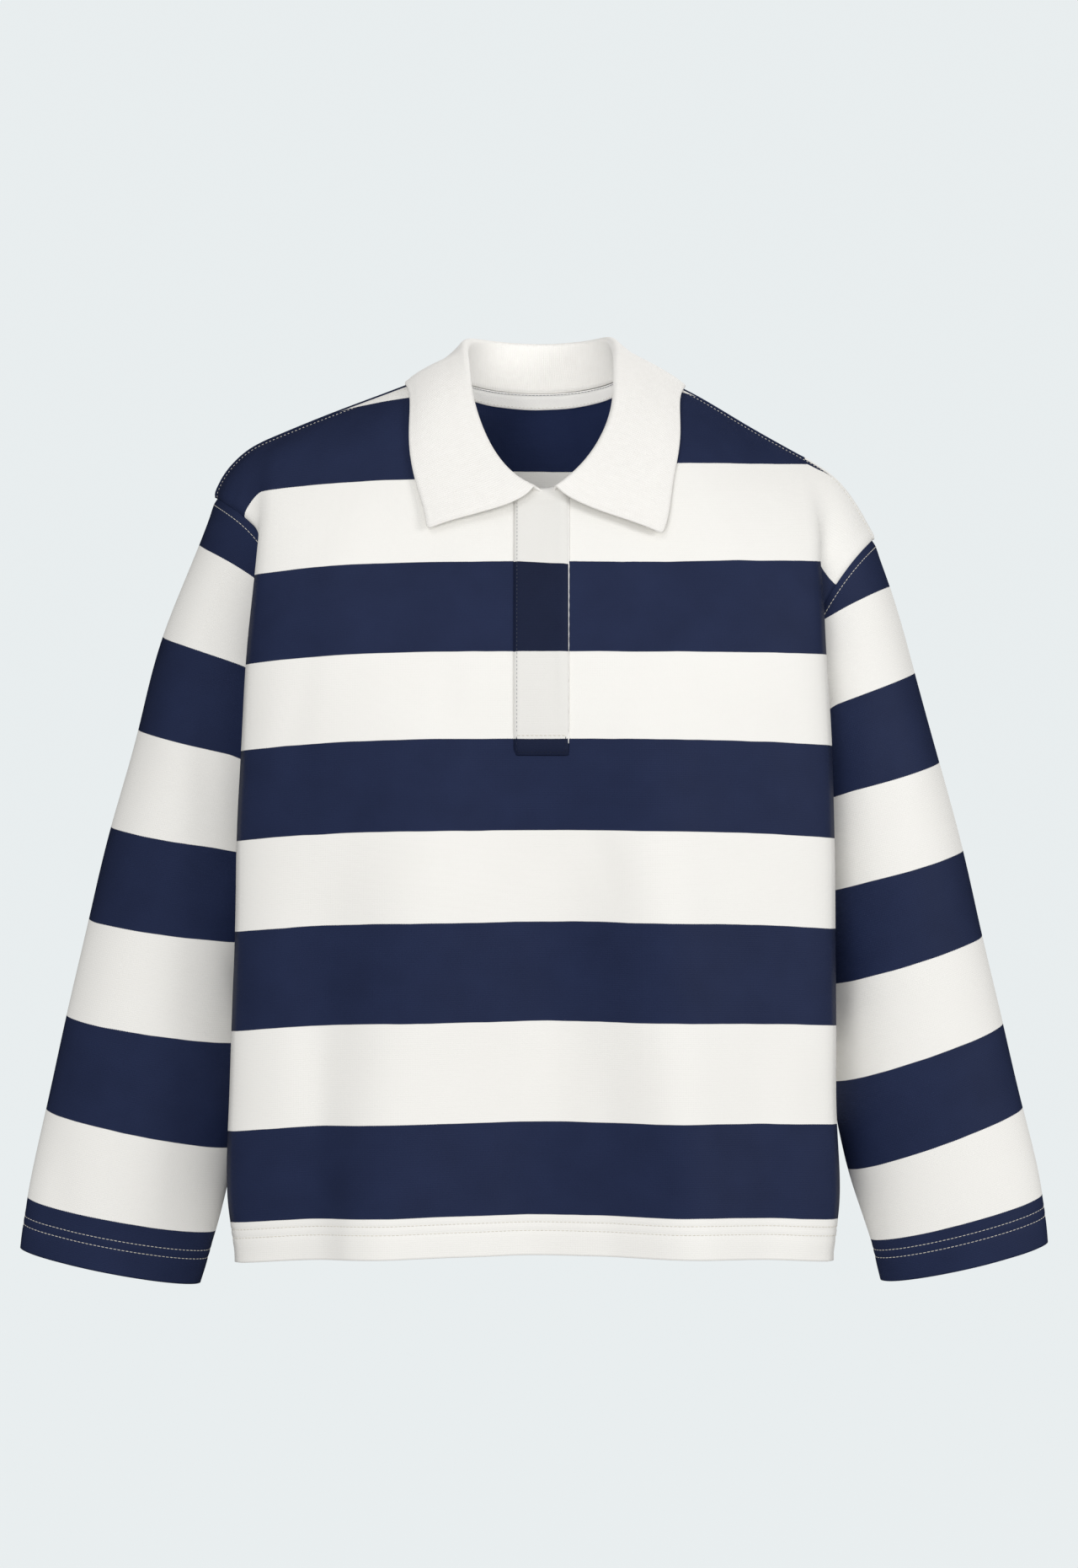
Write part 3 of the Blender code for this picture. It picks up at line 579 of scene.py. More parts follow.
def unevenness(a, b, seed):
    # a slow, shallow waviness that keeps the cloth from looking drawn with a ruler
    waves = ((0.021, 0.013, 0.35), (-0.017, 0.024, 0.28), (0.043, 0.019, 0.16), (0.012, -0.051, 0.13))
    return sum(rise * np.sin(a * p + b * q + seed * 1.7 + k * 2.3) for k, (p, q, rise) in enumerate(waves))


def seamShape(distance):
    return swell(cloth["seam"], distance) + swell(cloth["allowance"], distance)


hem = {
    "stitchRows": (17, 23),  # mm above the edge
    # rise, where it lies and half width
    "soft": (0.18, 10, 8),
    "furrow": (-0.42, 0, 1.1),  # at each row of stitches
    "foldEnd": (-0.22, 0, 12),  # above the turned part
    "foldEndOver": 3,
}


def hemShape(height, stitchRows):
    # two stitched furrows with soft cloth between them, and the inner fold's end
    past = height - cloth["hemDepth"]
    out = swell(hem["soft"], height) + sum(swell(hem["furrow"], height - at) for at in stitchRows)
    return out + ramp(past, 0, hem["foldEndOver"]) * swell(hem["foldEnd"], np.maximum(past, 0))


def clothWall(fromHem):
    return cloth["jersey"] + cloth["turnUp"] * ramp(fromHem, *cloth["turnUpEnd"])


# sleeves

sleeves = {
    "rings": (
        (
            (242, 1, -112, 169, 6, -240, 47, 0.40),
            (268, 6, -177, 176, 8, -260, 51, 0.55),
            (286, 10, -243, 184, 11, -294, 51, 0.70),
            (306, 12, -312, 191, 13, -342, 49, 0.85),
            (322, 14, -378, 198, 14, -402, 46, 1.0),
            (338, 15, -447, 207, 15, -471, 43, 1.0),
            (353, 15, -514, 217, 15, -541, 38, 1.0),
            (366, 14, -577, 231, 14, -601, 31, 1.0),
            (371, 13, -613, 242, 13, -638, 27, 1.0),
        ),
        (
            (250, 5, -141, 175, 6, -247, 46, 0.55),
            (268, 8, -202, 181, 9, -269, 48, 0.65),
            (286, 10, -266, 187, 11, -308, 50, 0.80),
            (303, 12, -329, 194, 13, -364, 48, 0.90),
            (317, 14, -390, 201, 14, -427, 46, 1.0),
            (332, 15, -453, 209, 15, -494, 42, 1.0),
            (346, 15, -513, 221, 15, -557, 37, 1.0),
            (360, 14, -575, 237, 14, -607, 31, 1.0),
            (364, 13, -609, 244, 13, -636, 27, 1.0),
        ),
    ),
    "frontDrop": 3.5,  # how much lower the loops stand in front
    "dropShare": 0.15,
    "stitchRows": (18, 24),
    "calm": (0, 30),  # mm from the armhole over which the folds come up
    "cuffCalm": (0.45, 0, 40),  # share of them left at the cuff, and the mm over which it grows
    "waver": (0.6, 0.011),
    "underarm": (-0.6, 0, 1.6),
    "underarmFrom": (0, 4),
    "foldsRunOut": 500,  # folds that end further along run out over the cuff
    # folds: degrees round and mm along, from one end to the other, half width in mm, rise
    "folds": (
        (
            (60, 30, 110, 200, 13, -1.6),
            (120, 20, 150, 190, 14, 2.0),
            (130, 230, 165, 300, 11, -2.2),
            (95, 300, 150, 350, 12, 1.4),
            (40, 380, 60, 520, 12, -1.0),
            (200, 60, 250, 240, 15, -2.0),
            (220, 280, 190, 380, 13, 2.0),
            (290, 60, 300, 260, 16, 1.6),
            (300, 330, 280, 510, 13, -1.6),
            (240, 400, 236, 530, 11, 1.2),
        ),
        (
            (55, 30, 100, 190, 13, -1.5),
            (118, 20, 150, 200, 14, 1.8),
            (128, 220, 165, 290, 11, -2.0),
            (90, 310, 150, 350, 12, 1.3),
            (58, 440, 66, 530, 9, -1.8),
            (84, 450, 88, 530, 9, 1.2),
            (205, 60, 250, 220, 15, -2.0),
            (222, 270, 190, 360, 13, 1.9),
            (285, 70, 300, 250, 16, 1.5),
            (300, 320, 282, 500, 13, -1.5),
        ),
    ),
}


def sleeveShapes(side, at=None):
    # the loops' own places along the sleeve, and the columns of the table at the places asked for
    table = np.array((armhole["rings"][side],) + sleeves["rings"][side], float)
    middles = (table[:, :3] + table[:, 3:6]) / 2
    length = np.concatenate([[0], np.cumsum(np.linalg.norm(np.diff(middles, axis=0), axis=1))])
    if at is None:
        return length
    return np.stack([spline(length / length[-1], table[:, k], at) for k in range(table.shape[1])], -1)


def sleeveAngles():
    rows = panelRows()
    front = armholeAngle(rows[rows >= armhole["row"] - 1e-9])[::-1]
    return np.concatenate([front, 2 * math.pi - front[-2:0:-1]])


def sleeve(side):
    # a ring of points at each level from the armhole down to the cuff
    d, angles = division, sleeveAngles()
    stations = sleeveShapes(side)
    length = stations[-1]
    start, step, cuff = d["sleeveStart"], d["sleeveStep"], length - np.array(d["cuffRings"])
    along = np.concatenate([start, np.arange(start[-1] + step, cuff[0] - 1, step), cuff])
    shapes = sleeveShapes(side, along / length)
    grid = np.stack([ring(side, shape, angles) for shape in shapes])
    drop = sleeves["frontDrop"] * np.clip(along / length / sleeves["dropShare"], 0, 1)
    grid[..., 2] -= drop[:, None] * np.sin(angles)
    # the loops of the table stand at the stripe edges
    height = np.interp(along, stations, stripes["sleeve"])[:, None]
    climb = np.interp(along, stations, stripes["sleeveClimb"][side])[:, None]
    loop = {name: shapes[:, k : k + 1] for k, name in enumerate(ringColumns)}
    end = stripes["climbEnd"]
    inner = np.minimum(end["innerX"], loop["outX"] - end["least"])
    inward = (loop["outX"] - np.abs(grid[..., 0])) / (loop["outX"] - inner)
    # the edges run straight across, though the loops near the armhole bow
    fall, power = (1 - np.cos(angles)) / 2, armhole["power"][side]
    bow = np.maximum(fall * stripes["straightTo"] ** (power - 1) - fall**power, 0)
    height = height + bow * (1 - loop["ease"]) * (loop["outZ"] - loop["inZ"])
    return grid, along, height - climb * np.clip(inward, 0, end["most"])


# meshes


def meshObject(name, points, faces, material):
    mesh = bpy.data.meshes.new(name)
    mesh.from_pydata(points, [], faces)
    mesh.shade_smooth()
    mesh.materials.append(material)
    obj = bpy.data.objects.new(name, mesh)
    bpy.context.scene.collection.objects.link(obj)
    return obj


def gridQuads(place):
    return np.stack([place[:-1, :-1], place[:-1, 1:], place[1:, 1:], place[1:, :-1]], -1)


def clothObject(name, outer, inner, uv, material, closed=False, holes=None, rim=0.0):
    # a thin closed shell between two grids, with rounded edges; uv has one more column where it closes
    rows, columns = outer.shape[:2]
    count = rows * columns
    place = np.arange(count).reshape(rows, columns)
    quads = gridQuads(np.concatenate([place, place[:, :1]], 1) if closed else place)
    uvQuads = gridQuads(np.arange(uv.shape[0] * uv.shape[1]).reshape(uv.shape[:2]))
    keep = np.ones(quads.shape[:2], bool) if holes is None else ~holes
    quads, uvQuads = quads[keep], uvQuads[keep]
    # sides of quads with no neighbour are the cloth's edges
    edges = {}
    for quad, uvQuad in zip(quads.tolist(), uvQuads.tolist()):
        for k in range(4):
            a, b = quad[k], quad[(k + 1) % 4]
            if (b, a) in edges:
                del edges[(b, a)]
            else:
                edges[(a, b)] = (uvQuad[k], uvQuad[(k + 1) % 4])
    flat, flatInner = outer.reshape(-1, 3), inner.reshape(-1, 3)
    away = {}
    for a, b in edges:
        push = np.cross(flat[b] - flat[a], flat[a] - flatInner[a])
        push = push / max(np.linalg.norm(push), 1e-9)
        for p in (a, b):
            away[p] = away.get(p, 0) + push
    rimPlace, rimPoints = {}, []
    for p, push in away.items():
        rimPlace[p] = 2 * count + len(rimPoints)
        rimPoints.append((flat[p] + flatInner[p]) / 2 + push / max(np.linalg.norm(push), 1e-9) * rim)
    faces = quads.tolist() + (quads[:, ::-1] + count).tolist()
    faceUv = uvQuads.tolist() + uvQuads[:, ::-1].tolist()
    for (a, b), (ua, ub) in edges.items():
        faces.append([b, a, rimPlace[a], rimPlace[b]])
        faces.append([rimPlace[b], rimPlace[a], a + count, b + count])
        faceUv += [[ub, ua, ua, ub], [ub, ua, ua, ub]]
    points = np.concatenate([flat, flatInner, np.array(rimPoints).reshape(-1, 3)]) * mm
    used = np.unique(faces)
    renumber = np.full(len(points), -1)
    renumber[used] = np.arange(len(used))
    obj = meshObject(name, points[used].tolist(), renumber[np.array(faces)].tolist(), material)
    layer = obj.data.uv_layers.new(name="clothMm")
    flatUv = uv.reshape(-1, 2)[np.array(faceUv).reshape(-1)]
    layer.data.foreach_set("uv", flatUv.astype(np.float32).reshape(-1))
    return obj


stitchShape = {
    "sides": 6,
    "rings": (-1, -0.8, -0.35, 0.35, 0.8, 1),  # along half a stitch
    "arch": (0.55, 1.25),  # height at the middle and the drop to the ends, in thread radii
    "taper": 0.55,
}


def stitchRow(name, points, normals, material, spec):
    # short thread loops along a line, each dipping into the cloth at its ends
    arc = arcLength(points[None], 1)[0]
    count = max(int(arc[-1] / spec["pitch"]), 1)
    half, sides, rings = spec["length"] / 2, stitchShape["sides"], stitchShape["rings"]
    high, bend = stitchShape["arch"]
    vertices, faces = [], []

    def onLine(values, at):
        return np.array([np.interp(at, arc, values[:, i]) for i in range(3)])

    for k in range(count):
        middle = (k + 0.5) * arc[-1] / count
        spot, off = onLine(points, middle), unit(onLine(normals, middle))
        along = unit(onLine(points, middle + half) - onLine(points, middle - half))
        beside = unit(np.cross(off, along))
        start = len(vertices)
        for r in rings:
            lift = spec["lift"] + spec["radius"] * (high - bend * r * r)
            radius = spec["radius"] * (1 - stitchShape["taper"] * abs(r) ** 3)
            centre = spot + along * r * half + off * lift
            for s in range(sides):
                turn = 2 * math.pi * s / sides
                vertices.append(centre + (beside * math.cos(turn) + off * math.sin(turn)) * radius)
        for i in range(len(rings) - 1):
            a, b = start + i * sides, start + (i + 1) * sides
            faces += [(a + s, a + (s + 1) % sides, b + (s + 1) % sides, b + s) for s in range(sides)]
        faces.append(tuple(start + s for s in reversed(range(sides))))
        faces.append(tuple(start + (len(rings) - 1) * sides + s for s in range(sides)))
    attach(meshObject(name, (np.array(vertices) * mm).tolist(), faces, material), "root")


# materials


class Nodes:
    # a small helper that keeps node wiring short
    def __init__(self, name):
        self.material = bpy.data.materials.new(name)
        self.material.use_nodes = True
        self.tree = self.material.node_tree
        self.surface = self.tree.nodes["Principled BSDF"]

    def add(self, kind, **values):
        node = self.tree.nodes.new(kind)
        for key, value in values.items():
            setattr(node, key, value)
        return node

    def feed(self, socket, value):
        if isinstance(value, bpy.types.NodeSocket):
            self.tree.links.new(value, socket)
        else:
            socket.default_value = value

    def set(self, name, value):
        self.feed(self.surface.inputs[name], value)

    def maths(self, operation, a, b=0.0, c=None, clamp=False):
        node = self.add("ShaderNodeMath", operation=operation, use_clamp=clamp)
        self.feed(node.inputs[0], a)
        self.feed(node.inputs[1], b)
        if c is not None:
            self.feed(node.inputs[2], c)
        return node.outputs[0]

    def clothPlace(self):
        # mm across and mm up the cloth
        uv = self.add("ShaderNodeUVMap", uv_map="clothMm")
        split = self.add("ShaderNodeSeparateXYZ")
        self.tree.links.new(uv.outputs[0], split.inputs[0])
        return uv.outputs[0], split.outputs[0], split.outputs[1]

    def noise(self, place, scale, stretch=(1, 1, 1), detail=2.0, rough=0.5):
        mapping = self.add("ShaderNodeMapping")
        mapping.inputs["Scale"].default_value = stretch
        self.tree.links.new(place, mapping.inputs["Vector"])
        node = self.add("ShaderNodeTexNoise")
        node.inputs["Scale"].default_value = scale
        node.inputs["Detail"].default_value = detail
        node.inputs["Roughness"].default_value = rough
        self.tree.links.new(mapping.outputs[0], node.inputs["Vector"])
        return node.outputs["Fac"]

    def mix(self, factor, a, b):
        node = self.add("ShaderNodeMix", data_type="RGBA")
        self.feed(node.inputs[0], factor)
        self.feed(node.inputs[6], a)
        self.feed(node.inputs[7], b)
        return node.outputs[2]

    def waves(self, place, pitch):
        # 0 to 1, one wave in each pitch
        turn = self.maths("MULTIPLY", place, 2 * math.pi / pitch)
        return self.maths("MULTIPLY_ADD", self.maths("SINE", turn), 0.5, 0.5)

    def bump(self, height, distance, strength=1.0):
        node = self.add("ShaderNodeBump")
        node.inputs["Distance"].default_value = distance
        node.inputs["Strength"].default_value = strength
        self.tree.links.new(height, node.inputs["Height"])
        self.tree.links.new(node.outputs[0], self.surface.inputs["Normal"])


jerseyLook = {
    "navy": (0.0186, 0.0296, 0.0830),
    "navyDeep": (0.0066, 0.0112, 0.0360),
    "cream": (0.890, 0.880, 0.842),
    "creamDeep": (0.850, 0.834, 0.792),
    "courses": 1.35,  # mm from one knitted row to the next
    "wales": 1.15,
    "tooth": 0.42,  # how far the stitches of one colour reach into the other
    "wander": 0.9,  # mm by which the stripe edges stray
    "edgeShift": 0.8,  # brings the middle of that straying back to the stripe's edge
    "mottle": (0.75, 0.45),  # of the fine and of the slow noise
    "reliefShares": (0.5, 0.28, 1.1),  # of courses, wales and yarn
    "relief": 0.00011,
    "rough": (0.62, 0.12),
    "shine": 0.24,
}


def stripedJersey(name, pale=1.0, dark=1.0):
    look, pitch = jerseyLook, stripes["pitch"]
    # pale and dark below 1 darken the cream and the navy, as painted shade
    shades = {key: tuple(v * (dark if "navy" in key else pale) for v in look[key]) + (1,)
              for key in ("navy", "navyDeep", "cream", "creamDeep")}
    n = Nodes(name)
    place, across, up = n.clothPlace()
    half = look["wales"] / 2
    tooth = n.maths("MULTIPLY", n.maths("PINGPONG", across, half), look["tooth"] / half)
    wander = n.maths("MULTIPLY", n.noise(place, 0.035, detail=1.0), look["wander"])
    height = n.maths("ADD", n.maths("ADD", up, tooth), wander)
    band = n.maths("MULTIPLY_ADD", height, 1 / pitch, -(stripes["first"] + look["edgeShift"]) / pitch)
    isCream = n.maths("GREATER_THAN", n.maths("FLOORED_MODULO", band, 2.0), 1.0)
    mottle = n.noise(place, 0.9, (1, 1.9, 1), detail=3.0, rough=0.65)
    slow = n.maths("MULTIPLY", n.noise(place, 0.03, detail=2.0), look["mottle"][1])
    shade = n.maths("MULTIPLY_ADD", mottle, look["mottle"][0], slow, clamp=True)
    navy = n.mix(shade, shades["navyDeep"], shades["navy"])
    cream = n.mix(shade, shades["creamDeep"], shades["cream"])
    n.set("Base Color", n.mix(isCream, navy, cream))
    # knitted rows, broken up by the yarn
    courseShare, waleShare, yarnShare = look["reliefShares"]
    bend = n.maths("MULTIPLY", n.noise(place, 0.35), 0.9)
    course = n.waves(n.maths("ADD", up, bend), look["courses"])
    wale = n.maths("MULTIPLY", n.waves(across, look["wales"]), waleShare)
    yarn = n.noise(place, 1.6, (0.7, 1.5, 1), detail=2.0)
    relief = n.maths("MULTIPLY_ADD", course, courseShare, wale)
    n.bump(n.maths("MULTIPLY_ADD", yarn, yarnShare, relief), look["relief"], 0.85)
    plain, rougher = look["rough"]
    n.set("Roughness", n.maths("MULTIPLY_ADD", mottle, rougher, plain))
    n.set("Specular IOR Level", look["shine"])
    return n.material


ribLook = {
    "cream": (0.920, 0.905, 0.868, 1),
    # the darker cream, for the painted shade between the ribs and for random tone
    "shade": (0.850, 0.830, 0.788, 1),
    "ribs": 1.55,  # mm from rib to rib
    "rows": 1.2,
    "mottle": (0.35, 0.8),  # painted shade in the grooves between the ribs, and random tone from the noise
    "relief": 0.00016,
    "rough": (0.82, 0.1),
    "shine": 0.25,
    "sheen": (0.14, 0.5),
}


def collarRib():
    look = ribLook
    n = Nodes("collarRib")
    place, across, up = n.clothPlace()
    bend = n.maths("MULTIPLY", n.noise(place, 0.06), 1.4)
    ribs = n.waves(n.maths("ADD", across, bend), look["ribs"])
    rows = n.waves(up, look["rows"])
    yarn = n.noise(place, 1.5, detail=2.0)
    mottle = n.noise(place, 0.25, (1, 0.6, 1), detail=3.0)
    # the grooves between the ribs are painted darker as shade, over random tone from the noise
    paintedRibShade, noiseShade = look["mottle"]
    shade = n.maths("MULTIPLY_ADD", ribs, paintedRibShade, n.maths("MULTIPLY", mottle, noiseShade), clamp=True)
    n.set("Base Color", n.mix(shade, look["shade"], look["cream"]))
    relief = n.maths("MULTIPLY_ADD", yarn, 0.9, n.maths("MULTIPLY_ADD", rows, 0.25, ribs))
    n.bump(relief, look["relief"], 0.8)
    plain, rougher = look["rough"]
    n.set("Roughness", n.maths("MULTIPLY_ADD", mottle, rougher, plain))
    n.set("Specular IOR Level", look["shine"])
    n.set("Sheen Weight", look["sheen"][0])
    n.set("Sheen Roughness", look["sheen"][1])
    return n.material


tapeLook = {
    "shade": (0.90, 0.885, 0.85, 1),
    "cream": (0.95, 0.94, 0.91, 1),
    "twill": 0.9,  # mm from line to line
    "relief": 0.00010,
    "rough": 0.85,
    "shine": 0.25,
}


def twillTape():
    look = tapeLook
    n = Nodes("twillTape")
    place, across, up = n.clothPlace()
    twill = n.waves(n.maths("ADD", across, up), look["twill"])
    yarn = n.noise(place, 1.2, detail=2.0)
    n.set("Base Color", n.mix(yarn, look["shade"], look["cream"]))
    n.bump(n.maths("MULTIPLY_ADD", yarn, 0.7, twill), look["relief"], 0.7)
    n.set("Roughness", look["rough"])
    n.set("Specular IOR Level", look["shine"])
    return n.material


threadLook = {
    "paleThread": ((0.78, 0.75, 0.66, 1), (0.60, 0.57, 0.49, 1)),
    "navyThread": ((0.020, 0.027, 0.060, 1), (0.010, 0.014, 0.034, 1)),
    "greyThread": ((0.13, 0.14, 0.17, 1), (0.07, 0.08, 0.10, 1)),
    "relief": 0.00006,
    "rough": 0.62,
    "shine": 0.35,
}


def thread(name):
    # spun thread: a fine uneven grain, seen only close up
    look = threadLook
    color, dark = look[name]
    n = Nodes(name)
    grain = n.noise(n.add("ShaderNodeTexCoord").outputs["Object"], 900, detail=1.0)
    n.set("Base Color", n.mix(grain, dark, color))
    n.bump(grain, look["relief"], 0.6)
    n.set("Roughness", look["rough"])
    n.set("Specular IOR Level", look["shine"])
    return n.material


materials = {
    "jersey": stripedJersey("stripedJersey"),
    "strip": stripedJersey("stripedJerseyPaintedShade", 0.90, 0.66),  # painted shade: the strip's cream and navy are darkened
    "rib": collarRib(),
    "tape": twillTape(),
    "paleThread": thread("paleThread"),
    "navyThread": thread("navyThread"),
    "greyThread": thread("greyThread"),
}
print("materials made")

# panels and sleeves


def border(grid, closed):
    # each place on the sewn edges, the one inside it, and its two neighbours along the edge
    rows, columns = grid.shape[:2]
    if closed:
        return [((0, j), (1, j), (0, j - 1), (0, (j + 1) % columns)) for j in range(columns)]
    places = []
    for j, inside in ((0, 1), (columns - 1, columns - 2)):
        places += [((i, j), (i, inside), (max(i - 1, 0), j), (i + 1, j)) for i in range(rows - 1)]
    top = rows - 1
    return places + [((top, j), (top - 1, j), (top, max(j - 1, 0)), (top, min(j + 1, columns - 1)))
                     for j in range(columns)]


def joinSeams(grids, outward, gap):
    # pieces that meet get one direction off the cloth there, and are drawn back half the gap
    meetings = {}
    for name, grid in grids.items():
        isSleeve = name.startswith("sleeve")
        for place, inside, before, after in border(grid, isSleeve):
            into = squareTo(grid[inside] - grid[place], unit(grid[after] - grid[before]))
            spot = tuple(np.round(grid[place], 2) + 0.0)
            piece = {"name": name, "place": place, "own": outward[name][place], "into": into}
            meetings.setdefault(spot, []).append({**piece, "panel": not isSleeve})
    for pieces in meetings.values():
        panels = sum(p["panel"] for p in pieces)
        for p in pieces:
            p["share"] = 1 / panels if p["panel"] else 1.0
        middle = unit(sum(p["own"] * p["share"] for p in pieces))
        if len(pieces) > 1:
            facing = sum(np.dot(a["own"], b["into"]) for a in pieces for b in pieces if a is not b)
            turned = sum(p["into"] * p["share"] for p in pieces) * math.copysign(1, facing)
            middle = unit(sum(p["own"] * p["share"] for p in pieces) + turned)
        for p in pieces:
            name, place = p["name"], p["place"]
            grids[name][place] = grids[name][place] + squareTo(p["into"], middle) * gap / 2
            outward[name][place] = middle / max(cloth["leastMitre"], np.dot(middle, p["own"]))


def easeSeams(grid, own, atSeam, isSleeve):
    # the direction off the cloth turns into the seam's over a few mm
    change, up = atSeam - own, arcLength(grid, 0)
    lines = [(change[:1], up)] if isSleeve else [(change[-1:], up[-1:] - up)]
    borders = [(0, slice(None))] if isSleeve else [(-1, slice(None)), (slice(None), 0), (slice(None), -1)]
    if not isSleeve:
        across = arcLength(grid, 1)
        lines += [(change[:, :1], across), (change[:, -1:], across[:, -1:] - across)]
    eased, weights = own.copy(), np.zeros(grid.shape[:2])
    for edge, distance in lines:
        weight = bell(distance, cloth["seamTurn"]) * (1 - weights)
        eased += edge * weight[..., None]
        weights = weights + weight
    for places in borders:
        eased[places] = atSeam[places]
    return eased


grids = {"front": panel(False), "back": panel(True)}
heights = {name: stripeHeights(grids[name], name == "back") for name in grids}
acrossUv = {name: acrossMm(grids[name]) for name in grids}
sleeveInfo = {}
for side in (right, left):
    name = "sleeve" + sideName[side].title()
    grids[name], *sleeveInfo[name] = sleeve(side)
ownNormals = {name: gridNormals(grid, name.startswith("sleeve")) for name, grid in grids.items()}
for name in ("back", "sleeveRight"):
    ownNormals[name] = -ownNormals[name]
outward = {name: value.copy() for name, value in ownNormals.items()}
joinSeams(grids, outward, cloth["seamGap"])
for name in grids:
    outward[name] = easeSeams(grids[name], ownNormals[name], outward[name], name.startswith("sleeve"))
plainPanels = {name: grids[name].copy() for name in ("front", "back")}
print("cloth forms laid out")

drape = {
    "seed": {"front": 0.0, "back": 3.0},
    "calm": (0, 30),  # mm from the seams over which the folds come up
    "besideStrip": (60, -20),  # where the front hangs flatter, across and in height
    "aboveFoot": (-275, 20),
    "flatter": 0.8,
    "pastNeck": 4,
    "ridgeFrom": (70, 20),
    # the hem ripples a little between the ridges
    "ripple": 0.5,
    "rippleTurn": 0.105,
    "rippleStart": {"front": 0.2, "back": 1.1},
    "rippleReach": 42,
}


def shapePanel(name):
    d, grid = drape, grids[name]
    x, z = grid[..., 0], grid[..., 2]
    fromHem, arc = arcLength(grid, 0), arcLength(grid, 1)
    fromTop, fromSide = fromHem[-1:] - fromHem, np.minimum(arc, arc[:, -1:] - arc)
    rise = foldRise(x, z, bodyFolds[name]) + unevenness(x, z, d["seed"][name])
    rise = rise * ramp(np.minimum(fromTop, fromSide), *d["calm"])
    if name == "front":
        rise = rise * (1 - d["flatter"] * ramp(np.abs(x), *d["besideStrip"]) * ramp(z, *d["aboveFoot"]))
    rise += seamShape(fromTop) * (np.abs(x) > neck["half"] - d["pastNeck"]) + seamShape(fromSide)
    if name == "back":
        # the shoulder seam's turned edges lie towards the back
        rise += swell(cloth["shoulderRidge"], fromTop) * ramp(np.abs(x), *d["ridgeFrom"])
    rise += hemShape(fromHem, hem["stitchRows"])
    ripple = d["ripple"] * np.sin(x * d["rippleTurn"] + d["rippleStart"][name])
    rise += ripple * bell(fromHem, d["rippleReach"])
    grid += outward[name] * rise[..., None]
    inner = grid - outward[name] * clothWall(fromHem)[..., None]
    holes = np.zeros((grid.shape[0] - 1, grid.shape[1] - 1), bool)
    if name == "front":
        a, b = (nearest(grid[-1, :, 0], at) for at in slit["sides"])
        holes[nearest(panelRows(), rowAt(slit["end"])) :, a:b] = True
    return inner, np.stack([acrossUv[name], heights[name]], -1), holes


def turnTo(degrees):
    return (degrees + 180) % 360 - 180


def shapeSleeve(name, side):
    s, grid = sleeves, grids[name]
    along, height = sleeveInfo[name]
    angles = sleeveAngles()
    degrees, along = np.degrees(angles)[None, :], along[:, None]
    around = arcLength(np.concatenate([grid, grid[:, :1]], 1), 1)
    girth = around[:, -1:]
    mmPerDegree = girth / 360
    rise = np.zeros(grid.shape[:2])
    for row in s["folds"][side]:
        f = dict(zip(foldColumns, row))
        a, b = turnTo(degrees - f["x0"]) * mmPerDegree, along - f["z0"]
        dx, dz = turnTo(f["x1"] - f["x0"]) * float(np.mean(mmPerDegree)), f["z1"] - f["z0"]
        rise += foldBand(f, a, b, dx, dz, f["z1"] > s["foldsRunOut"])
    waver, turn = s["waver"]
    rise += waver * np.sin(2 * angles[None, :] + along * turn) * unevenness(along, 0, side)
    fromCuff = along[-1] - along
    least, *cuffCalm = s["cuffCalm"]
    rise = rise * ramp(along, *s["calm"]) * (least + (1 - least) * ramp(fromCuff, *cuffCalm))
    rise += seamShape(along) + hemShape(fromCuff, s["stitchRows"])
    # the underarm seam runs down the inner side
    rise += swell(s["underarm"], np.abs(degrees - 180) * mmPerDegree) * ramp(along, *s["underarmFrom"])
    grid += outward[name] * rise[..., None]
    inner = grid - outward[name] * clothWall(fromCuff)[..., None]
    return inner, np.stack([around - girth / 2, np.concatenate([height, height[:, :1]], 1)], -1)


def addPiece(piece, node):
    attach(piece, "root")
    if node:
        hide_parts(node)


for name in ("front", "back"):
    inner, uv, holes = shapePanel(name)
    piece = clothObject(name + "Panel", grids[name], inner, uv, materials["jersey"], holes=holes,
                        rim=cloth["rim"])
    addPiece(piece, name + "_body")

for side in (right, left):
    name = "sleeve" + sideName[side].title()
    inner, uv = shapeSleeve(name, side)
    piece = clothObject(name, grids[name], inner, uv, materials["jersey"], closed=True, rim=cloth["rim"])
    addPiece(piece, "sleeve_" + sideName[side])
print("panels and sleeves made")

# the collar

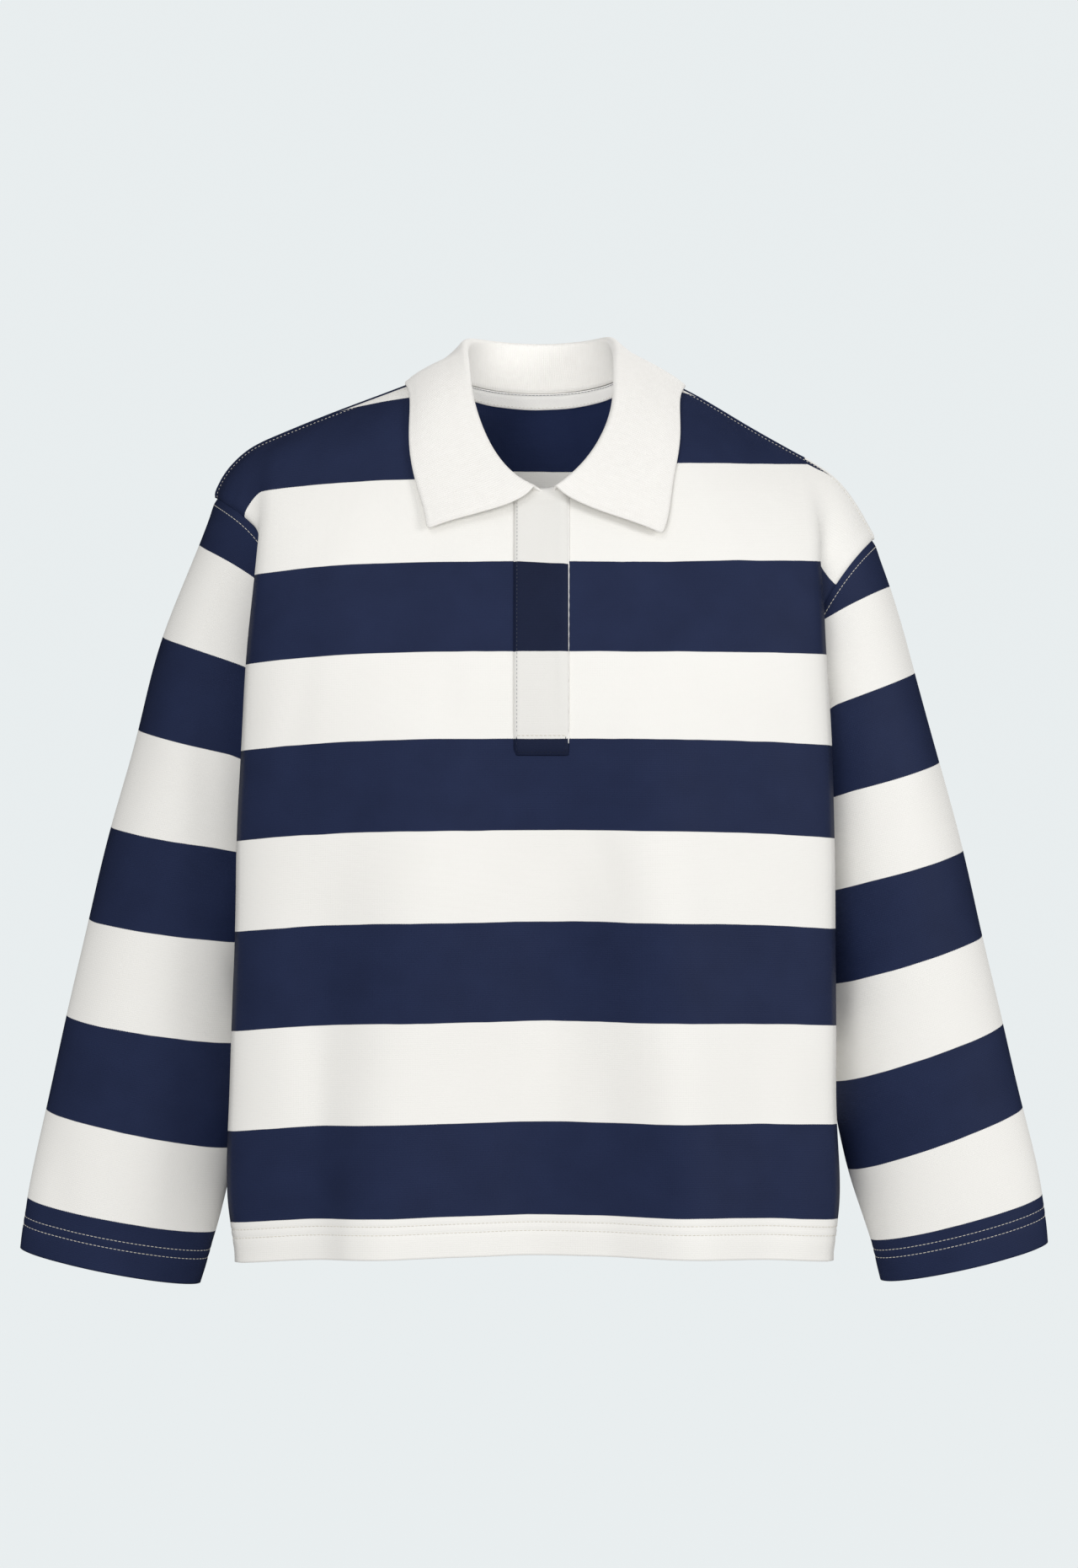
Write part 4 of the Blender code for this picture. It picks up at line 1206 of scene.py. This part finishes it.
# round the neck: the fold where it turns over, where its edge lies, and how far that edge stands off
collar = {
    "columns": ("share", "roll_x", "roll_y", "roll_z", "edge_x", "edge_y", "edge_z", "lift"),
    "rows": (
        (0.000, -4, -87, -75, -77, -92, -106, 6),
        (0.090, -18.5, -80, -65, -80, -86, -90, 5),
        (0.180, -34, -66, -44, -87, -73, -66, 4),
        (0.270, -46, -46, -10, -91, -52, -36, 4.5),
        (0.350, -50, -20, 19, -91.5, -20, -7, 4.4),
        (0.420, -49, 20, 37, -86, 34, -13, 5.0),
        (0.460, -34, 45, 38, -58, 60, -20, 6),
        (0.500, 0, 58, 37, 0, 72, -22, 6),
        (0.540, 34, 45, 38, 60, 60, -21, 6),
        (0.580, 49, 20, 38, 90, 34, -17, 5.5),
        (0.650, 53, -16, 18, 99, -14, -9, 4.8),
        (0.730, 51.5, -44, -14, 99, -48, -37, 4.5),
        (0.820, 40.5, -66, -44, 94, -72, -67, 4),
        (0.910, 26, -79, -63, 89.5, -84, -94, 5),
        (1.000, 12, -86, -75, 85, -92, -109, 6),
    ),
    "seamTurn": ((0, 0.37, 0.5, 0.63, 1), (-4, 90, 180, 270, 352)),  # degrees round the neck at these shares
    "wall": 1.9,
    "rim": 0.75,
    "seamSet": 2.0,
    "rollRadius": 3.6,
    "rollShare": 0.3,
    "standHandle": 0.3,
    "fallHandles": (0.25, 0.3),
    "count": 161,
    "endSteps": (0, 0.0014, 0.003, 0.0047),  # closer columns at the two ends
    "cornerRadius": 3.2,
    "standSteps": 9,
    "rollSteps": 8,
    "fallSteps": 24,
    "rest": 3.6,  # least height of the fall over the cloth
    "deepest": 9.0,  # further under the cloth than this it is the inside, and stays
    "spread": 3,
    "puff": 4.0,
    "gap": 0.4,
    "squarely": 0.9,  # how squarely the cloth has to lie over a point that counts as under it
    "lean": 0.6,
    # the knitted edge and a slight wave along it, on the fall only
    "fallFrom": (0.42, 12),
    "edgeFurrow": (-0.28, 3.4, 0.9),
    "wave": 0.45,
    "waveTurn": 0.045,
    "waveReach": 14,
    "uneven": 0.5,
    "seed": 5.0,
    "ribRow": 14,  # the ribs keep the width they have on this row
}


def neckRound(turn):
    # points on the neck seam at these degrees, from the front over the wearer's right side
    points = []
    for angle in np.radians(turn):
        side = right if np.sin(angle) >= 0 else left
        points.append(neckSeam(side, abs(neck["half"] * np.sin(angle)), np.cos(angle) < 0))
    return np.array(points)


def outerFaces(grid, flip):
    quads = gridQuads(np.arange(grid[..., 0].size).reshape(grid.shape[:2])).reshape(-1, 4)
    return BVHTree.FromPolygons(grid.reshape(-1, 3).tolist(), (quads[:, ::-1] if flip else quads).tolist())


def above(points, trees):
    # how high the points stand over the cloth, and the way off it
    heightsOff, directions = np.empty(points.shape[:-1]), np.empty(points.shape)
    for place in np.ndindex(heightsOff.shape):
        point = Vector(points[place])
        spot, normal, _, distance = min((t.find_nearest(point) for t in trees), key=lambda hit: hit[3])
        # a point is under the cloth only where the cloth lies squarely over it, not past an edge
        sign = -1 if (point - spot).dot(normal) < -collar["squarely"] * distance else 1
        heightsOff[place] = sign * distance
        directions[place] = ((point - spot) * sign + normal * collar["lean"]).normalized()
    return heightsOff, directions


def spread(lift, times):
    # each pass takes the highest of the neighbours, then their mean
    for _ in range(times):
        for pick in (np.max, np.mean):
            wide = np.pad(lift, 1, mode="edge")
            views = [wide[i : i + lift.shape[0], j : j + lift.shape[1]] for i in range(3) for j in range(3)]
            lift = pick(views, axis=0)
    return lift


def collarGrid(trees):
    # from the neck seam up the stand, over the roll and down the fall
    c = collar
    ends = np.array(c["endSteps"])
    at = np.concatenate([ends, np.linspace(0, 1, c["count"])[1:-1], 1 - ends[::-1]])
    seam = neckRound(np.interp(at, *c["seamTurn"]))
    inward = unit(np.cross(np.gradient(seam, axis=0), (0, 0, 1)))
    seam = seam + inward * c["seamSet"] + (0, 0, c["gap"])
    place = {name: readTable(c, name, at) for name in c["columns"]}
    roll = np.stack([place["roll_" + axis] for axis in "xyz"], -1)
    edge = np.stack([place["edge_" + axis] for axis in "xyz"], -1)
    height, off = above(edge, trees)
    edge = edge + off * (place["lift"] - height)[:, None]
    line = unit(np.gradient(roll, axis=0))
    up, down = squareTo(roll - seam, line), squareTo(edge - roll, line)
    # the roll is an arc of this radius between the stand and the fall
    over = squareTo(down, up)
    turn = np.arccos(np.clip(np.sum(up * down, -1, keepdims=True), -1, 1))
    stand = np.linalg.norm(roll - seam, axis=-1, keepdims=True)
    radius = np.minimum(c["rollRadius"], c["rollShare"] * stand)
    centre = roll + over * radius * np.cos(turn / 2) - up * radius * np.sin(turn / 2)
    arc = [centre - over * radius * np.cos(turn * k) + up * radius * np.sin(turn * k)
           for k in np.linspace(0, 1, c["rollSteps"] + 1)]
    begin, end = arc[0], arc[-1]
    low, high = seam + (begin - seam) * c["standHandle"], begin - up * c["standHandle"] * stand
    same = np.ones(len(at))
    rows = [bezier(seam, low, high, begin, same * t) for t in np.linspace(0, 1, c["standSteps"] + 1)[:-1]]
    rows += arc
    length = np.linalg.norm(edge - end, axis=-1, keepdims=True)
    slant = unit(edge - end)
    early = end + down * c["fallHandles"][0] * length
    late = edge - slant * c["fallHandles"][1] * length + off * c["puff"]
    # the leaf's points are rounded
    along = arcLength(edge[None], 1)[0]
    fromEnd = np.clip(np.minimum(along, along[-1] - along) / c["cornerRadius"], 0, 1)
    short = 1 - c["cornerRadius"] * (1 - np.sqrt(1 - (1 - fromEnd) ** 2)) / length[:, 0]
    rows += [bezier(end, early, late, edge, short * t) for t in np.linspace(0, 1, c["fallSteps"] + 1)[1:]]
    grid = np.stack(rows)
    fall = grid[-c["fallSteps"]:]
    height, off = above(fall, trees)
    lift = np.where(height > -c["deepest"], np.maximum(c["rest"] - height, 0), 0)
    fall += off * spread(lift, c["spread"])[..., None]
    return grid


def makeCollar():
    c = collar
    grid = collarGrid([outerFaces(plainPanels["front"], False), outerFaces(plainPanels["back"], True)])
    normals = gridNormals(grid)
    up, along = arcLength(grid, 0), arcLength(grid, 1)
    total = up[-1:]
    fromEdge = np.minimum(total - up, np.minimum(along, along[:, -1:] - along))
    rise = swell(c["edgeFurrow"], fromEdge) + unevenness(along, up, c["seed"]) * c["uneven"]
    rise += c["wave"] * np.sin(along * c["waveTurn"]) * bell(fromEdge, c["waveReach"])
    share, over = c["fallFrom"]
    rise *= ramp(up, share * total, over)
    grid = grid + normals * rise[..., None]
    inner = grid - gridNormals(grid) * c["wall"]
    across = along[c["ribRow"]] - along[c["ribRow"], grid.shape[1] // 2]
    uv = np.stack([np.broadcast_to(across, up.shape), up], -1)
    piece = clothObject("collarRib", grid, inner, uv, materials["rib"], rim=c["rim"])
    addPiece(piece, "collar")


makeCollar()
print("collar made")

# the placket

placket = {
    "sides": (-17, 20),
    "end": -262,
    "pastSeam": (1.4, 2.8),  # how far the strips stand over the neck seam, under the collar's ends
    "pastLift": 0.6,
    "probe": 0.05,  # share of the panel's half width at which its breadth is measured
    "leastStep": 0.004,
    "fold": 2.1,
    "layGap": 0.35,
    "under": 1.5,
    "leastWall": 0.8,
    "rim": 0.5,
    "columns": 26,
    "stripeDrop": 2.0,  # mm the stripe edge falls across the strip
    "dropFrom": (430, 50),
    # creases: rise, where they lie and half width, in mm from the edge named
    "sewnEdge": (-1.5, 0, 1.3),
    "freeEdge": (-0.55, 0, 1.2),
    "besideFree": (0.45, 5, 3),
    "besideFreeFrom": (20, 20),
    # the stitched box at the foot and the crease above it
    "footEdge": (-1.1, 0, 1.6),
    "overBox": (-0.75, 13.5, 1.1),
    "boxSink": (0.35, 13, -3),
    "wave": (0.3, 0.06),
    "waveAcross": (2, 9),
    # the small fold under the collar slants down towards the free edge
    "topFold": (-0.5, 9, 1.6),
    "topFoldSlant": 3,
    "topFoldFrom": (0.4, 3),
}


def stripGrid(sides, end, lift, columns, past=()):
    # a strip of the front panel, moved off it; it may go on past the neck seam by these mm
    low, probe = rowAt(end), placket["probe"]
    rows = np.array([low] + [r for r in panelRows() if r > low + placket["leastStep"]])
    across = np.linspace(*sides, columns)
    grid = np.empty((len(rows), columns, 3))
    for j, x in enumerate(across):
        side = right if x < 0 else left
        width = np.abs(torso(side, probe, rows, False)[:, 0]) / probe
        grid[:, j] = torso(side, abs(x) / width, rows, False)
    grid += gridNormals(grid) * lift
    onward = unit(grid[-1] - grid[-4])
    top = grid[-1:]
    for further in past:
        grid = np.concatenate([grid, top + onward * further + (0, placket["pastLift"] * further, 0)])
    return grid, across


def layPiece(name, node, grid, normals, thick, uv, material, rim):
    inner = grid - normals * np.asarray(thick)[..., None]
    addPiece(clothObject(name, grid, inner, uv, material, rim=rim), node)


def pressStrip(grid, across):
    # how far the creases lift the upper strip
    p = placket
    arc = arcLength(grid, 0)
    top, across = arc[-1:] - arc, across[None, :]
    fromSewn, fromFree = across - p["sides"][0], p["sides"][1] - across
    share = fromSewn / (p["sides"][1] - p["sides"][0])
    rise = swell(p["sewnEdge"], fromSewn) + swell(p["freeEdge"], fromFree)
    rise = rise + swell(p["besideFree"], fromFree) * ramp(arc, *p["besideFreeFrom"])
    sink, *box = p["boxSink"]
    rise = rise + swell(p["footEdge"], arc) + swell(p["overBox"], arc) - sink * ramp(arc, *box)
    wave, turn = p["wave"]
    middle, reach = p["waveAcross"]
    rise = rise + wave * np.sin(arc * turn) * bell(across - middle, reach)
    begin, pace = p["topFoldFrom"]
    return rise + swell(p["topFold"], top - p["topFoldSlant"] * share) * smoothStep(share * pace - begin)


def makePlacket():
    p = placket
    middle = nearest(grids["front"][0, :, 0], 0)
    middleZ, rowHeights = plainPanels["front"][:, middle, 2], heights["front"][:, middle]
    for name, node, lift, wall in (
        ("placketUnder", "placket_under", -cloth["jersey"] - p["layGap"], p["under"]),
        ("placketUpper", "placket_upper", p["layGap"] + p["fold"], p["fold"]),
    ):
        upper = node == "placket_upper"
        grid, across = stripGrid(p["sides"], p["end"], lift, p["columns"], p["pastSeam"])
        normals = gridNormals(grid)
        height = np.interp(grid[..., 2], middleZ, rowHeights)
        thick = wall
        if upper:
            share = (across - p["sides"][0]) / (p["sides"][1] - p["sides"][0])
            height = height + p["stripeDrop"] * share * ramp(height, *p["dropFrom"])
            rise = pressStrip(grid, across)
            grid = grid + normals * rise[..., None]
            thick = np.maximum(wall + rise, p["leastWall"])
        uv = np.stack([np.broadcast_to(across, height.shape), height], -1)
        layPiece(name, node, grid, normals, thick, uv,
                 materials["strip" if upper else "jersey"], p["rim"])
    return grid, normals


facing = {
    "sides": (10.2, 20.75),
    "footSide": 20.3,
    "end": -254,
    "lift": 1.5,
    "wall": 1.0,
    "rim": 0.35,
    "columns": 11,
    "shyPace": 1.15,
    "wave": (0.12, 0.9),
}


def makeFacing():
    # the pale facing inside the strip shows along the free edge, less and less towards the foot
    f = facing
    grid, across = stripGrid(f["sides"], f["end"], f["lift"], f["columns"])
    arc = arcLength(grid, 0)
    share = (across - across[0])[None, :] / (across[-1] - across[0])
    shy = (f["sides"][1] - f["footSide"]) * smoothStep(f["shyPace"] * (1 - arc / arc[-1:]))
    wave, turn = f["wave"]
    grid[..., 0] -= shy * share + wave * np.sin(arc * turn) * share
    uv = np.stack([np.broadcast_to(across, arc.shape), arc], -1)
    layPiece("placketFacing", None, grid, gridNormals(grid), f["wall"],
             uv, materials["tape"], f["rim"])


stripOuter, stripNormals = makePlacket()
makeFacing()


# the neck tape

neckTape = {
    "width": 11.0,
    "reach": 62,  # mm to each side of the middle
    "drop": 0.6,
    "wall": 0.8,
    "rim": 0.3,
    "off": 2.6,
    "rows": 10,
    "past": (0.6, 1.2),  # its upper edge is carried over the seam that holds the collar
    "pastOff": 0.12,
    "stitchFurrow": (-0.35, 1.6, 0.8),
    "wave": (0.25, 0.21),
    "waveOver": (0, 8),
}


def makeTape():
    t = neckTape
    columns = []
    for side, order in ((right, -1), (left, 1)):
        shares = [s for s in sideShares(side)[::order] if s * foldTop(side) < t["reach"]]
        for share in shares if side == right else shares[1:]:
            # rows at even mm below the neck seam, by the slope of the panel there
            ends = torso(side, share, np.array([body["chestRow"], 1.0]), True)
            reach = readTable(topSlope, "reach", share)
            perMm = (1 - body["chestRow"]) / (3 * reach * np.linalg.norm(ends[1, 1:] - ends[0, 1:]))
            rows = 1 - (t["drop"] + np.linspace(t["width"], 0, t["rows"])) * perMm
            columns.append(torso(side, share, rows, True))
    band = np.stack(columns, 1)
    inside = gridNormals(band)
    band = band + inside * t["off"]
    onward, start = unit(band[-1] - band[-3]), band[-1:]
    for further in t["past"]:
        band = np.concatenate([band, start + onward * further + inside[-1] * t["pastOff"] * further])
    inside = gridNormals(band)
    up, along = arcLength(band, 0), arcLength(band, 1)
    fromTop = up[-1:] - up
    wave, turn = t["wave"]
    rise = swell(t["stitchFurrow"], fromTop) + wave * np.sin(along * turn) * ramp(fromTop, *t["waveOver"])
    band = band + inside * rise[..., None]
    uv = np.stack([along, up], -1)
    layPiece("neckTape", "neck_tape", band, inside, t["wall"], uv,
             materials["tape"], t["rim"])
    return band, inside


tapeGrid, tapeNormals = makeTape()
print("placket and tape made")

# stitching

stitching = {
    # mm: stitch length, from stitch to stitch, thread radius, and height over the cloth
    "fine": {"length": 2.3, "pitch": 2.9, "radius": 0.24, "lift": 0.06},
    "shy": {"length": 1.6, "pitch": 2.8, "radius": 0.22, "lift": 0.03},
    "thin": {"length": 1.6, "pitch": 2.8, "radius": 0.13, "lift": 0.03},
    "close": {"length": 2.5, "pitch": 2.6, "radius": 0.20, "lift": 0.05},
    "armhole": 3.4,  # mm from the seam, on the sleeve
    "shoulder": 6.5,
    "pastNeck": 3,
    "side": {"from": 1.8, "low": 4, "high": 74},  # the lowest part of the side seam is stitched through
    # on the placket's upper strip: two ends as mm across and up, how many points, thread and stitch
    "placket": {
        "placketFootStitches": ((-15.4, 1.8), (18.4, 1.8), 20, "navyThread", "fine"),
        "placketCrossStitches": ((-15.4, 13.4), (18.4, 13.4), 20, "paleThread", "fine"),
        "placketSewnBoxStitches": ((-15.4, 1.8), (-15.4, 13.4), 8, "navyThread", "fine"),
        "placketFreeBoxStitches": ((18.4, 1.8), (18.4, 13.4), 8, "navyThread", "fine"),
        "placketSewnStitches": ((-15.2, 15.4), (-15.2, None), 60, "greyThread", "thin"),  # up to the seam
    },
    "tape": (0.5, 1.7),
}


def offEdge(grid, normals, axis, distance):
    # a line across the cloth at this distance from the end of the axis
    grid, normals = (np.moveaxis(a, axis, 0) for a in (grid, normals))
    arc = arcLength(grid, 0)
    arc = arc[-1:] - arc
    points, directions = np.empty(grid.shape[1:]), np.empty(grid.shape[1:])
    for j in range(grid.shape[1]):
        for k in range(3):
            points[j, k] = np.interp(distance, arc[::-1, j], grid[::-1, j, k])
            directions[j, k] = np.interp(distance, arc[::-1, j], normals[::-1, j, k])
    return points, directions


def sewHems():
    s, pale = stitching, materials["paleThread"]
    for name in ("front", "back"):
        grid, normals = grids[name], gridNormals(grids[name]) * (-1 if name == "back" else 1)
        for height in hem["stitchRows"]:
            at = division["hemRows"].index(height)
            stitchRow(f"{name}HemStitches{height}", grid[at], normals[at], pale, s["fine"])
    for side in (right, left):
        name = "sleeve" + sideName[side].title()
        grid = grids[name]
        normals = gridNormals(grid, True) * (-1 if side == right else 1)
        first, rings = len(grid) - len(division["cuffRings"]), division["cuffRings"]
        rows = [(f"{name}CuffStitches{h}", first + rings.index(h)) for h in sleeves["stitchRows"]]
        rows.append((name + "ArmholeStitches", division["sleeveStart"].index(s["armhole"])))
        for label, at in rows:
            loop = [np.concatenate([a[at], a[at, :1]]) for a in (grid, normals)]
            stitchRow(label, *loop, pale, s["fine"])


def sewSeams():
    s, front, pale = stitching, grids["front"], materials["paleThread"]
    line, directions = offEdge(front, gridNormals(front), 0, s["shoulder"])
    for side in (right, left):
        there = line[:, 0] * sideSign[side] > neck["half"] + s["pastNeck"]
        stitchRow(sideName[side] + "ShoulderStitches", line[there], directions[there], pale, s["shy"])
    low, high = (nearest(arcLength(front, 0)[:, 0], s["side"][k]) for k in ("low", "high"))
    for side, part in ((left, front), (right, front[:, ::-1])):
        line, directions = offEdge(part, gridNormals(part) * sideSign[side], 1, s["side"]["from"])
        stitchRow(sideName[side] + "SideStitches", line[low:high], directions[low:high], pale, s["shy"])


def onStrip(spots):
    # points and directions at these mm across and up the placket's upper strip
    arc = arcLength(stripOuter, 0)[:, 0]
    across = np.linspace(*placket["sides"], stripOuter.shape[1])
    found = []
    for field in (stripOuter, stripNormals):
        values = []
        for x, up in spots:
            column = np.array([[np.interp(x, across, row[:, k]) for k in range(3)] for row in field])
            values.append([np.interp(up, arc, column[:, k]) for k in range(3)])
        found.append(np.array(values))
    return found


def sewPlacketAndTape():
    s = stitching
    atSeam = arcLength(stripOuter, 0)[-4, 0]
    for label, (first, last, count, look, kind) in s["placket"].items():
        spots = np.linspace(first, (last[0], last[1] or atSeam), count)
        stitchRow(label, *onStrip(spots), materials[look], s[kind])
    high, low = s["tape"]
    line, directions = offEdge(tapeGrid, tapeNormals, 0, high)
    stitchRow("tapeStitches", line, directions, materials["greyThread"], s["close"])
    line, directions = offEdge(tapeGrid[::-1], tapeNormals[::-1], 0, low)
    stitchRow("tapeLowStitches", line, directions, materials["paleThread"], s["shy"])


sewHems()
sewSeams()
sewPlacketAndTape()
print("stitching made")

# camera, light and backdrop

studio = {
    "distance": 3.2,
    "eyeHeight": -0.282,
    "lens": 103.17,
    "sensor": 36,
    "reach": 60,
    # the backdrop is round and seamless, so that it looks the same from every side
    "floor": -1.55,
    "radius": 7.0,
    "foot": 3.0,
    "wall": 6.0,
    "dome": 4.0,
    "bends": (12, 10),
    "turns": 96,
    "least": 0.001,
    "paper": (0.02, 0.021, 0.021),
    "pale": (0.800, 0.840, 0.850),
    "glow": 1.0,
    "ambient": (0.45, 0.45, 0.455),
    "lightColumns": ("place", "aim", "size", "watts", "shine"),
    "lights": {
        "key": ((3.0, -2.5, 0.7), (0, 0, -0.3), 1.6, 45.0, True),
        "front": ((-0.7, -4.2, -0.1), (0, 0, -0.3), 2.2, 66.0, False),
        "top": ((-1.0, -2.4, 2.0), (0, 0, -0.3), 1.8, 16.0, True),
        "back": ((1.2, 3.2, 2.2), (0, 0, -0.3), 2.4, 98.0, False),
        # a weak fill in the neck opening, for the inside of the collar
        "neck": ((0, -0.050, -0.030), (0, 0.06, -0.052), 0.04, 0.042, False),
    },
}


def makeCamera():
    s = studio
    camera = bpy.data.objects.new("camera", bpy.data.cameras.new("camera"))
    camera.data.lens = s["lens"]
    camera.data.sensor_width = s["sensor"]
    camera.data.clip_end = s["reach"]
    camera.location = (0, -s["distance"], s["eyeHeight"])
    camera.rotation_euler = (math.pi / 2, 0, 0)
    bpy.context.scene.collection.objects.link(camera)
    bpy.context.scene.camera = camera


def makeBackdrop():
    s, turns = studio, studio["turns"]
    radius, foot, wall, dome, least = (s[name] for name in ("radius", "foot", "wall", "dome", "least"))
    low, high = ([math.pi / 2 * k / count for k in range(1, count + 1)] for count in s["bends"])
    profile = [(least, 0), (radius - foot, 0)]
    profile += [(radius - foot + foot * math.sin(a), foot * (1 - math.cos(a))) for a in low]
    profile += [(radius, wall)]
    profile += [(max(radius * math.cos(a), least), wall + dome * math.sin(a)) for a in high]
    angles = [2 * math.pi * t / turns for t in range(turns)]
    points = [(r * math.cos(a), r * math.sin(a), z + s["floor"]) for r, z in profile for a in angles]
    faces = []
    for i in range(len(profile) - 1):
        a, b = i * turns, (i + 1) * turns
        faces += [(a + t, a + (t + 1) % turns, b + (t + 1) % turns, b + t) for t in range(turns)]
    n = Nodes("backdropPaper")
    n.set("Base Color", (*s["paper"], 1))
    n.set("Roughness", 1.0)
    n.set("Specular IOR Level", 0.0)
    n.set("Emission Color", (*s["pale"], 1))
    n.set("Emission Strength", s["glow"])
    n.material.cycles.emission_sampling = "NONE"
    backdrop = meshObject("backdrop", points, faces, n.material)
    backdrop.visible_diffuse = backdrop.visible_glossy = backdrop.visible_shadow = False


def makeLights():
    for name, row in studio["lights"].items():
        spec = dict(zip(studio["lightColumns"], row))
        light = bpy.data.lights.new(name + "Light", "AREA")
        light.shape, light.size, light.energy = "DISK", spec["size"], spec["watts"]
        obj = bpy.data.objects.new(name + "Light", light)
        obj.location = spec["place"]
        obj.rotation_euler = (Vector(spec["aim"]) - Vector(spec["place"])).to_track_quat("-Z", "Y").to_euler()
        obj.visible_camera, obj.visible_glossy = False, spec["shine"]
        bpy.context.scene.collection.objects.link(obj)
    world = bpy.data.worlds.new("studio")
    bpy.context.scene.world = world
    world.use_nodes = True
    world.node_tree.nodes["Background"].inputs["Color"].default_value = (*studio["ambient"], 1)
    world.node_tree.nodes["Background"].inputs["Strength"].default_value = 1.0
    world.cycles_visibility.glossy = False


makeCamera()
makeBackdrop()
makeLights()
bpy.context.scene.view_settings.view_transform = "Standard"
bpy.context.scene.view_settings.look = "None"
print("studio made")
